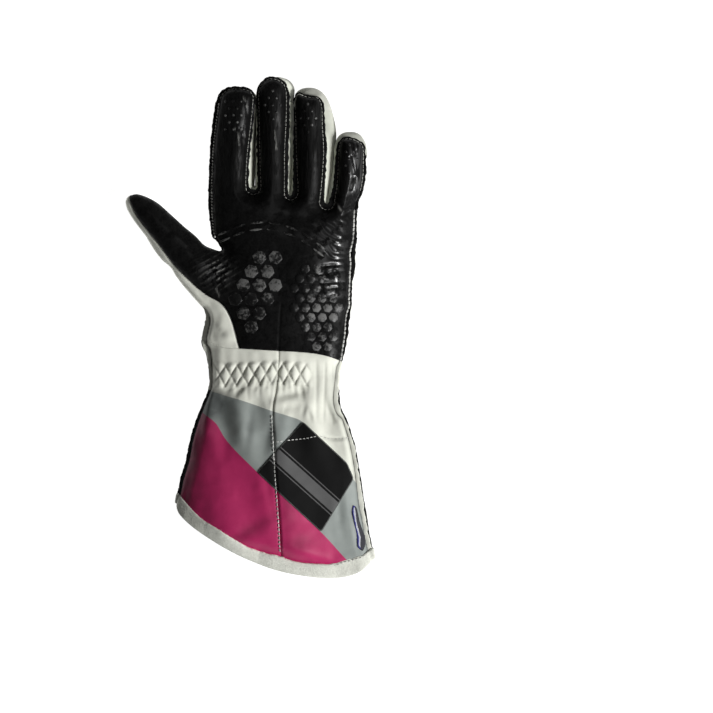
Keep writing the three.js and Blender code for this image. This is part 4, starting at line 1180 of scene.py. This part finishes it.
def cuff_panel(name, replaced, loop):
    """One panel of the cuff's front, with its folds, its print zones and its darkening: painted
    shade towards the thumb side's edge, in creases and dents, and a dark line inside the thumb
    side's seam.
    """
    x, y, faces = plan_sheet(loop, CUFF_STEP)
    z, signed = front_height(x, y)
    folds, crease = cuff_folds(x, y)
    dyed = np.clip(0.5 + 0.6 * np.minimum(0.3 - signed, DYED_FROM - y), 0, 1) * (x < 0)
    # Painted shade, darker towards the edge at the thumb's side below the wrist.
    shaded = 1.25 * np.exp(-(np.clip(signed, 0, None) / 14) ** 1.3)
    shaded = shaded * ease(-x / 22) * ease((-40 - y) / 8)
    shaded = np.maximum(shaded, seam_dark_line(signed) * ease(-x / 10) * ease((y + 46) / 4))
    raw_right = (signed < 0) & (x > 0)
    marks = {
        "from_stitches": signed,
        "crease": np.clip(crease * ease(signed / 3) + shaded, 0, 1.2),
        "past_grey_line": np.where(raw_right, -1.0, past_line(GREY_LINE, x, y)),
        "past_magenta_line": past_line(MAGENTA_LINE, x, y),
        "black_edge": dyed,
    }
    points = np.column_stack([x, y, z + folds * ease(signed / 5)])
    new_piece(name, points, faces, [printed_hide, white_hide], [replaced],
              wall=LEATHER, marks=marks, inner=1)


cuff_panel("cuff_thumb_side", "gauntlet_thumb_side", np.vstack([
    between(front_edge, hem_middle[0], (-34.7, -8.8))[:, :2],
    between(hand_seam, (-34.4, -8.8), (19.6, -16.1)),
    cuff_seam[1:-1],
    between(hem_middle, (21.6, -166.0), (-54.0, -118.0)),
]))
narrow_edge = moved_right(front_edge, 0.8, smooth_edge)
cuff_panel("cuff_little_side", "gauntlet_little_side", np.vstack([
    cuff_seam[::-1][1:],
    between(hand_seam, (19.6, -16.1), (66.8, -23.7)),
    between(narrow_edge, (66.2, -24.5), hem_middle[-1])[:, :2],
    between(hem_middle, (88.0, -158.0), (21.6, -166.0)),
]))


# Back of the cuff
# The cuff's back is one white panel that lies flat on the table, gathered at the wrist like the
# front. Its raw edge along the side seams is black and a little wider than the front's.
def back_edge_material():
    """White leather whose raw edge, outside the stitches, is dyed black."""
    material, tree, shader = new_material("white_hide_black_edge", {
        "Roughness": 0.8, "Specular IOR Level": 0.3})
    nap, _, white = white_parts(tree, WHITE_LIGHT, WHITE_SHADE)
    dyed = ranged(tree, stored(tree, "black_edge"), 0.45, 0.55)
    wire(tree, shader, {"Base Color": blend(tree, dyed, white, RAW_BLACK),
                        "Normal": bumped(tree, nap["Height"], 0.35, 0.0002)})
    return material


BLACK_EDGE_OUT = 0.1
black_edge_hide = back_edge_material()
wide_edge = moved_right(back_edge, -BLACK_EDGE_OUT, back_smooth)
cuff_back_loop = np.vstack([
    between(wide_edge, hem_middle[0], (-34.7, -8.8))[:, :2],
    hand_seam,
    between(wide_edge, (67.4, -24.5), hem_middle[-1])[:, :2],
    hem_middle[::-1],
])
x, y, faces = plan_sheet(cuff_back_loop, BACK_STEP)
z, signed = back_height(x, y)
z = z - 0.5 * smocking(x, y)[0] * ease(signed / 6) * ease((z - 1.0) / 3)
new_piece("cuff_back", np.column_stack([x, y, z]), turned_over(faces), [black_edge_hide],
          ["gauntlet_back"], wall=LEATHER,
          marks={"from_stitches": signed, "crease": np.zeros(len(x)),
                 "black_edge": ((signed < 0.2) & (y < DYED_FROM)).astype(float)})


# Hem binding
# A strip of soft white suede is folded round the cuff's raw hem and sewn through, all the way round
# front and back. It is a rounded band about ten millimetres wide.
RING_FRONT = 200
RING_TURN = 7
BAND_POINTS = 22
BAND_UP = 1.25
BAND_IN = (0.3, 2.7)
BAND_FLOOR = 0.05
RING_FLOOR = 1.3
HEM_SUEDES = ((0.86, 0.87, 0.79, 1.0), (0.74, 0.75, 0.67, 1.0))
HEM_RUBBED = (0.5, 0.51, 0.44, 1.0)
HEM_CLOUDS = 260.0


def mouth_line(line):
    """The cuff's mouth above a line of the plan, as a closed loop: along the front's skin to the
    right, round the flat side seam, and along the back's skin to the left."""
    row = resampled(line, RING_FRONT)
    top, _ = front_height(row[:, 0], row[:, 1])
    folds, _ = cuff_folds(row[:, 0], row[:, 1], 0.0)
    from_end = np.minimum(np.arange(RING_FRONT), np.arange(RING_FRONT)[::-1])
    bottom, _ = back_height(row[:, 0], row[:, 1])
    front = np.column_stack([row, top + folds * ease(from_end / 12.0)])
    back = np.column_stack([row, bottom])[::-1]
    turn = np.linspace(0, np.pi, RING_TURN)[1:-1, None]

    def corner(a, b, out):
        middle, half = (a + b) / 2, (a - b) / 2
        pushed = np.array([0.4 * out, 0, 0]) * np.abs(half[2])
        return middle + half * np.cos(turn) + pushed * np.sin(turn)

    right, left = corner(front[-1], back[0], 1.0), corner(back[-1], front[0], -1.0)
    ring = np.vstack([front, right, back, left])
    ring[:, 2] = np.maximum(ring[:, 2], RING_FLOOR)
    return ring


def signed_power(value, power):
    """A power of a value's size, with the value's sign."""
    return np.sign(value) * np.abs(value) ** power


inner_ring = mouth_line(hem_inner)
outer_ring = mouth_line(hem_outer)
reach = outer_ring - inner_ring
tangent = np.roll(inner_ring, -1, axis=0) - np.roll(inner_ring, 1, axis=0)
outward = np.cross(reach, tangent)
outward /= np.linalg.norm(outward, axis=1)[:, None]
outward = np.column_stack([even_out(outward[:, k], 3) for k in range(3)])
outward /= np.linalg.norm(outward, axis=1)[:, None]
hem_x, hem_y = resampled(hem_inner, RING_FRONT).T
mouth_open = np.abs(front_height(hem_x, hem_y)[0] - back_height(hem_x, hem_y)[0])
inward = np.clip(mouth_open / 2 - 0.2, *BAND_IN)
side_points = RING_TURN - 2
inward = np.concatenate([inward, np.full(side_points, inward[-1]),
                         inward[::-1], np.full(side_points, inward[0])])[:, None, None]
angle = np.linspace(0, 2 * np.pi, BAND_POINTS, endpoint=False)[None, :, None]
across = 0.5 - 0.5 * signed_power(np.cos(angle), 0.55)
height = signed_power(np.sin(angle), 0.6)
lumps = 1 + 0.14 * soft_noise(inner_ring[:, 0], inner_ring[:, 1], 5.0, 61)[:, None, None]
lift = np.where(height > 0, BAND_UP * height * lumps, inward * height)
ragged = 0.03 * soft_noise(inner_ring[:, 0], inner_ring[:, 1], 2.2, 62)[:, None, None]
across = across + ragged * (1 - across)
band = inner_ring[:, None] + reach[:, None] * across + outward[:, None] * lift
band[..., 2] = np.maximum(band[..., 2], BAND_FLOOR)


def hem_material():
    """Thick white suede, speckled where its nap is rubbed."""
    material, tree, shader = new_material("hem_suede", {
        "Roughness": 0.9, "Specular IOR Level": 0.2, "Sheen Weight": 0.2, "Sheen Roughness": 0.5})
    nap, _, colour = white_parts(tree, *HEM_SUEDES, HEM_CLOUDS)
    rubbed = blend(tree, ranged(tree, nap["Speck"], to_high=0.35), colour, HEM_RUBBED)
    felt = reckoned(tree, "ADD", nap["Height"], nap["Speck"])
    wire(tree, shader, {"Base Color": rubbed, "Normal": bumped(tree, felt, 0.5, 0.0003)})
    return material


points = band.reshape(-1, 3)
faces = turned_over(grid_faces(*band.shape[:2], True, True))
# The crease mark paints shade over the band, darker towards its left end.
new_piece("hem_band", points, faces, [hem_material()], ["hem_binding"],
          marks={"from_stitches": np.full(len(points), FAR_FROM_STITCHES),
                 "crease": 0.4 * ease((-12 - points[:, 0]) / 30)})


# Label
# A woven black patch with a plain grey band is sewn slantwise on the cuff, over its seam. It has
# rounded corners and follows the cuff's folds.
LABEL_CORNERS = [(36.4, -65.1), (67.4, -94.4), (72.1, -105.4), (49.4, -142.4), (4.6, -100.2)]
LABEL_ROUND = 2.2
LABEL_LIFT = 0.7
LABEL_STEP = 0.6
LABEL_WALL = 0.6
LABEL_TURN = 0.76
LABEL_BANDS = [(0.49, 0.505), (0.535, 0.705), (0.735, 0.75)]
LABEL_RIM = {"wide": 0.7, "colour": (0.10, 0.105, 0.10, 1.0)}
CORNER_POINTS = 7


def rounded_loop(corners, radius):
    """A closed loop round the corners, each cut by an even curve of about that radius."""
    p = np.asarray(corners, float)
    before, after = np.roll(p, 1, axis=0) - p, np.roll(p, -1, axis=0) - p
    before *= (radius / np.linalg.norm(before, axis=1))[:, None]
    after *= (radius / np.linalg.norm(after, axis=1))[:, None]
    t = np.linspace(0, 1, CORNER_POINTS)[None, :, None]
    a, b, c = (p + before)[:, None], p[:, None], (p + after)[:, None]
    return ((1 - t) ** 2 * a + 2 * t * (1 - t) * b + t ** 2 * c).reshape(-1, 2)


def skin_height(x, y):
    """Height of the cuff's skin with its folds."""
    z, signed = front_height(x, y)
    return z + cuff_folds(x, y)[0] * ease(signed / 5)


def dense(loop, step=0.8):
    """A closed loop with extra points on its long sides."""
    run = run_along(closed(loop))
    return rows_at(closed(loop), run, np.arange(0, run[-1], step))


def waves(tree, place, scale, way, distortion=0.0):
    """Even waves in one direction, as threads or ribs lie."""
    return node(tree, "TexWave", {"Vector": place, "Scale": scale, "Distortion": distortion},
                bands_direction=way).outputs["Fac"]


def label_material():
    """Black woven cloth with a thin grey rim, a grey band and two fine lines along the band."""
    material, tree, shader = new_material("label_cloth", {
        "Roughness": 0.8, "Specular IOR Level": 0.12})
    turned = node(tree, "Mapping", {"Vector": object_place(tree),
                                    "Rotation": (0.0, 0.0, LABEL_TURN)}).outputs[0]
    weave = reckoned(tree, "MAXIMUM", *(waves(tree, turned, 900.0, way, 0.6) for way in "XY"))
    width = stored(tree, "over_width")
    on_band = 0.0
    for low, high in LABEL_BANDS:
        over = reckoned(tree, "GREATER_THAN", width, low)
        under = reckoned(tree, "LESS_THAN", width, high)
        on_band = reckoned(tree, "MAXIMUM", reckoned(tree, "MULTIPLY", over, under), on_band)
    threads = blend(tree, ranged(tree, weave, to_low=0.55), grey(0.05), grey(0.13))
    on_rim = reckoned(tree, "LESS_THAN", stored(tree, "from_rim"), LABEL_RIM["wide"])
    banded = blend(tree, on_band, grey(0.0075), threads)
    wire(tree, shader, {"Base Color": blend(tree, on_rim, banded, LABEL_RIM["colour"]),
                        "Normal": bumped(tree, weave, 0.35, 0.0001)})
    return material


label_loop = dense(rounded_loop(LABEL_CORNERS, LABEL_ROUND))
x, y, faces = plan_sheet(label_loop, LABEL_STEP)
rim_far, _ = nearest(closed(label_loop), x, y)
z = skin_height(x, y) + LABEL_LIFT - 0.25 * bell(rim_far, 0.8)
side = np.subtract(LABEL_CORNERS[-1], LABEL_CORNERS[0])
over_width = (np.column_stack([x, y]) - LABEL_CORNERS[0]) @ side / (side @ side)
new_piece("label", np.column_stack([x, y, z]), faces, [label_material()],
          ["label_patch"], wall=LABEL_WALL, marks={"over_width": over_width, "from_rim": rim_far})


# Side tag
# A small folded tape, pale with blue edges, is caught in the side seam of the cuff near the hem.
# Fine ribs run across it, and its right side is painted dark as the shadow beside it.
TAG_CORNERS = [
    (71.6, -123.4), (74.0, -125.5), (76.3, -136.0), (79.8, -146.0), (80.0, -152.0), (78.4, -156.0),
    (74.8, -153.2), (74.4, -145.0), (72.2, -135.0), (70.8, -128.0),
]
TAG_ROUND = 1.2
TAG_EDGE_STEP = 0.5
TAG_STEP = 0.4
TAG_LIFT = 0.7
TAG_WALL = 0.5
# Where the painted shadow on the tag's right side begins: places down the plan, and x there.
TAG_SHADOW_LINE = ([123, 136, 146, 156], [72.2, 73.8, 76.4, 76.2])
TAG_PALES = ((0.3, 0.31, 0.42, 1.0), (0.6, 0.61, 0.62, 1.0))
TAG_BLUE = (0.025, 0.025, 0.2, 1.0)
TAG_SHADOW = (0.012, 0.012, 0.02, 1.0)


def tag_material():
    """Pale tape with worn blue edges, fine ribs, and a right side painted dark as a shadow."""
    material, tree, shader = new_material("tag_tape", {"Roughness": 0.65})
    place = object_place(tree)
    ribs = waves(tree, place, 700.0, "Y")
    patchy = cloudy(tree, place, 330.0, 2.0)
    from_rim = reckoned(tree, "MULTIPLY_ADD", patchy, 1.6, stored(tree, "from_rim"))
    inner = ranged(tree, from_rim, 1.62, 1.78)
    # Painted shadow on the tape's right side.
    in_shadow = ranged(tree, reckoned(tree, "ADD", stored(tree, "right_side"), patchy), 0.62, 0.85)
    face = blend(tree, inner, TAG_BLUE, blend(tree, ribs, *TAG_PALES))
    wire(tree, shader, {"Base Color": blend(tree, in_shadow, face, TAG_SHADOW),
                        "Normal": bumped(tree, ribs, 0.4, 0.0001)})
    return material


tag_loop = dense(rounded_loop(TAG_CORNERS, TAG_ROUND), TAG_EDGE_STEP)
x, y, faces = plan_sheet(tag_loop, TAG_STEP)
rim_far, _ = nearest(closed(tag_loop), x, y)
z = skin_height(x, y) + TAG_LIFT + 0.25 * np.sin(y / 3.1)
right_side = x - np.interp(-y, *TAG_SHADOW_LINE)
new_piece("side_tag", np.column_stack([x, y, z]), faces, [tag_material()],
          ["seam_tag"], wall=TAG_WALL, marks={"from_rim": rim_far, "right_side": right_side})


# Grip
# The palm and fingers carry a printed grip of glossy black silicone. It is raised pads in rows:
# hexagons on the heel of the hand, two lines of dashes under the fingers and dots on the tips.
PAD_HEIGHT = 0.3
PAD_SIDES = 24
PAD_RINGS = ((1.0, -0.7), (0.96, 0.7), (0.9, 1.0), (0.02, 1.0))
HEX_TURN = 0.3
HEX_ROOM = 0.8
HEX_REACH = 12
DASH_HALF = (4.6, 0.8)
DOT_PITCH = 5.6
DOT_HALF = 0.9
DOT_ROOM = 2.6
SILICONE_BLACK = grey(0.004)
SILICONE_SCUFF_AND_REFLECTION = (0.13, 0.13, 0.126, 1.0)
HEEL_FIELDS = [
    {"at": (0.5, 20.0), "size": (15.5, 35.0), "lean": -0.45, "pitch": 11.2, "half": 5.1},
    {"at": (46.0, 14.0), "size": (16.0, 31.0), "lean": 0.1, "pitch": 7.8, "half": 3.45},
]
DASH_ROWS = [
    [(-19.0, 66.5), (-4.0, 72.0), (10.0, 73.5), (24.0, 71.0), (38.0, 65.0), (50.0, 56.0)],
    [(-18.5, 61.5), (-4.0, 67.0), (10.0, 68.6), (23.5, 66.2), (36.5, 60.6), (48.0, 52.0)],
]
DASHES_A_ROW = 7
DOT_FIELDS = [
    {"at": (-12.0, 148.0), "size": (8.0, 14.0)}, {"at": (15.5, 155.0), "size": (7.5, 14.0)},
    {"at": (40.0, 146.0), "size": (7.0, 12.0)}, {"at": (69.0, 118.0), "size": (6.0, 10.0)},
]


def hexagonal_rows(field, pitch):
    """Places of a hexagonal grid inside a leaning ellipse."""
    count = np.arange(-HEX_REACH, HEX_REACH + 1)
    i, j = np.meshgrid(count, count, indexing="ij")
    u = pitch * (i + 0.5 * (j % 2)).ravel()
    v = pitch * 0.866 * j.ravel()
    leaning = (u + field.get("lean", 0.0) * v) / field["size"][0]
    kept = leaning ** 2 + (v / field["size"][1]) ** 2 < 1
    return (np.column_stack([u, v]) + field["at"])[kept]


def tube_faces(count, rings, sides):
    """Quads of so many open tubes, one after another, each of rings with so many sides."""
    one = grid_faces(rings, sides, False, True)
    starts = rings * sides * np.arange(count)[:, None, None]
    return turned_over((one[None] + starts).reshape(-1, 4))


def raised_pads(places, half_long, half_wide, corners, turn=0.0):
    """Flat-topped pads at the places: rings of an outline that is a circle, a hexagon or a bar,
    from its foot in the leather up to its top."""
    angle = np.linspace(0, 2 * np.pi, PAD_SIDES, endpoint=False)
    radius = np.ones(PAD_SIDES)
    if corners:
        wedge = 2 * np.pi / corners
        radius = np.cos(wedge / 2) / np.cos((angle + wedge / 2) % wedge - wedge / 2)
        radius = 0.9 * radius + 0.1
    scales, heights = np.array(PAD_RINGS).T
    u = scales[:, None] * radius * np.cos(angle) * half_long
    v = scales[:, None] * radius * np.sin(angle) * half_wide
    turn = np.broadcast_to(turn, len(places))[:, None, None]
    x = places[:, 0, None, None] + u * np.cos(turn) - v * np.sin(turn)
    y = places[:, 1, None, None] + u * np.sin(turn) + v * np.cos(turn)
    skin = front_height(x.ravel(), y.ravel())[0] + palm_folds(x.ravel(), y.ravel())
    z = skin.reshape(x.shape) + PAD_HEIGHT * heights[None, :, None]
    points = np.stack([x, y, z], axis=-1).reshape(-1, 3)
    return points, tube_faces(len(places), len(heights), PAD_SIDES)


def clear_of_seams(places, room):
    """The places that are well inside the black leather."""
    x, y = places.T
    kept = inside(palm_loop, x, y) & (front_height(x, y)[1] > room)
    for line in (thumb_border, hand_seam, palm_crease):
        kept = kept & (nearest(line, x, y)[0] > room)
    return places[kept]


def grip_material():
    """Black silicone, grey in patches that are partly scuffs and partly painted reflection of the
    glossy pads, glossy where it isn't.
    """
    material, tree, shader = new_material("grip_silicone", {"Specular IOR Level": 0.4})
    place = object_place(tree)
    scuff_and_reflection_noise = cloudy(tree, place, 420.0, 5.0, 0.7)
    patchy = reckoned(tree, "ADD", scuff_and_reflection_noise, cloudy(tree, place, 45.0, 1.0))
    # Grey patches: partly scuffs, partly painted reflection.
    scuff_and_highlight_share = ranged(tree, patchy, 0.98, 1.14)
    wire(tree, shader, {
        "Base Color": blend(tree, scuff_and_highlight_share, SILICONE_BLACK, SILICONE_SCUFF_AND_REFLECTION),
        "Roughness": ranged(tree, scuff_and_highlight_share, to_low=0.3, to_high=0.6),
        "Normal": bumped(tree, scuff_and_reflection_noise, 0.6, 0.0006),
    })
    return material


pads = []
for field in HEEL_FIELDS:
    places = clear_of_seams(hexagonal_rows(field, field["pitch"]), field["half"] + HEX_ROOM)
    pads.append(raised_pads(places, field["half"], field["half"], 6, HEX_TURN))
for row in DASH_ROWS:
    line = curve_through(row)
    at = np.linspace(0, len(line) - 2, DASHES_A_ROW).astype(int)
    turn = np.arctan2(*(line[at + 1] - line[at]).T[::-1])
    pads.append(raised_pads(line[at], *DASH_HALF, 0, turn))
for field in DOT_FIELDS:
    places = clear_of_seams(hexagonal_rows(field, DOT_PITCH), DOT_ROOM)
    pads.append(raised_pads(places, DOT_HALF, DOT_HALF, 0))
points, faces = joined(pads)
new_piece("grip_pads", points, faces, [grip_material()])


# Stitches
# The seams that show are rows of short thread stitches, each a small rounded bar lying on the
# leather. They are white on the palm, the cuff, the label and the hem, and greyer between the
# fingers.
THREAD_SIDES = 6
THREAD_SHAPE = np.array([(-1.0, 0.25), (-0.92, 0.75), (-0.6, 1.0), (0.0, 1.05),
                         (0.6, 1.0), (0.92, 0.75), (1.0, 0.25)])
THREAD_SEED = 71
WHITE_THREAD = (0.8, 0.8, 0.76, 1.0)
GREY_THREAD = (0.5, 0.5, 0.46, 1.0)
FINGER_STITCH = {"length": 2.1, "gap": 0.6, "radius": 0.27}
PALM_STITCH = {"length": 2.9, "gap": 0.15, "radius": 0.74}
INDEX_STITCH = {"length": 1.7, "gap": 0.5, "radius": 0.55, "lift": 0.9, "slant": 0.2}
CUFF_STITCH = {"length": 2.3, "gap": 0.6, "radius": 0.42}
LABEL_STITCH = {"length": 1.7, "gap": 0.9, "radius": 0.3}
CROSS_STITCH = {"length": 1.7, "gap": 0.9, "radius": 0.26}
HEM_STITCH = {"length": 1.6, "gap": 1.1, "radius": 0.2}
HEM_LIFT = 0.95


def stitch_row(line, height_of, length, gap, radius, lift=0.15, slant=0.0):
    """Bars along a line: each is a tube of six sides with rounded ends, carried to its place. Gives
    points and faces."""
    run = run_along(line)
    middles = np.arange(length, run[-1] - length, length + gap)
    jitter = np.random.default_rng(THREAD_SEED).uniform(-1, 1, (2, len(middles)))
    at = rows_at(line[:, :2], run, middles)
    ahead = rows_at(line[:, :2], run, middles + 0.5) - at
    turn = np.arctan2(ahead[:, 1], ahead[:, 0]) + slant + 0.12 * jitter[0]
    c, s = np.cos(turn)[:, None, None], np.sin(turn)[:, None, None]
    stations, thick = THREAD_SHAPE.T
    around = np.linspace(0, 2 * np.pi, THREAD_SIDES, endpoint=False)
    u = (stations * length / 2)[None, :, None] * (1 + 0.08 * jitter[1])[:, None, None]
    v = (thick[:, None] * np.cos(around) * radius)[None]
    up = (thick[:, None] * np.sin(around) * radius)[None]
    up = up - 0.5 * radius * stations[None, :, None] ** 4
    middle_x, middle_y = at[:, 0, None, None] + c * u, at[:, 1, None, None] + s * u
    skin = height_of(middle_x.ravel(), middle_y.ravel()).reshape(middle_x.shape)
    places = np.broadcast_arrays(middle_x - s * v, middle_y + c * v, skin + up + lift)
    points = np.stack(places, axis=-1).reshape(-1, 3)
    return points, tube_faces(len(at), len(stations), THREAD_SIDES)


def front_only(x, y):
    """Height of the front's skin alone."""
    return front_height(x, y)[0]


def thread_material(name, colour):
    """Twisted thread: fine slanting ribs and a little unevenness."""
    material, tree, shader = new_material(name, {"Roughness": 0.6})
    place = object_place(tree)
    twist = waves(tree, place, 1400.0, "DIAGONAL", 1.0)
    clean = ranged(tree, cloudy(tree, place, 90.0, 2.0), 0.35, 0.6)
    dark = (*(0.45 * part for part in colour[:3]), 1.0)
    wire(tree, shader, {"Base Color": blend(tree, clean, dark, colour),
                        "Normal": bumped(tree, twist, 0.5, 0.0001)})
    return material


def label_skin(x, y):
    """Height of the label's face."""
    return skin_height(x, y) + LABEL_LIFT


def hem_skin(x, y):
    """Height of the hem band's face near its sewn edge."""
    return skin_height(x, y) + HEM_LIFT


white_thread = thread_material("white_thread", WHITE_THREAD)
grey_thread = thread_material("grey_thread", GREY_THREAD)
row_line = moved_right(valley, -0.35, smooth_edge)
finger_row = between(row_line, (-20.0, 158.0), (76.0, 92.0))
palm_row = between(row_line, (74.0, 84.0), (62.0, -24.5))
index_row = between(row_line, (-23.0, 64.0), (-20.0, 158.0))
seam_row = between(cuff_seam, (15.4, -60.0), (21.4, -159.0)) + np.array([-0.7, 0.0])
left_of_label = between(cross_row, (16.8, -79.7), (25.4, -78.4))
over_label = between(cross_row, (25.4, -78.4), (47.4, -75.6))
right_of_label = between(cross_row, (48.0, -75.7), (70.0, -76.5))
hem_row = (0.86 * resampled(hem_inner, 300) + 0.14 * resampled(hem_outer, 300))[8:-8]

points, faces = stitch_row(finger_row, front_only, **FINGER_STITCH)
new_piece("finger_stitches", points, faces, [grey_thread])
points, faces = joined([
    stitch_row(palm_row, front_only, **PALM_STITCH),
    stitch_row(index_row, front_only, **INDEX_STITCH),
])
new_piece("palm_stitches", points, faces, [white_thread])
points, faces = joined([
    stitch_row(seam_row, label_skin, **CUFF_STITCH),
    stitch_row(over_label, label_skin, **LABEL_STITCH),
    stitch_row(left_of_label, skin_height, **CROSS_STITCH),
    stitch_row(right_of_label, skin_height, **CROSS_STITCH),
])
new_piece("cuff_stitches", points, faces, [white_thread])
points, faces = stitch_row(hem_row, hem_skin, **HEM_STITCH)
new_piece("hem_stitches", points, faces, [white_thread])
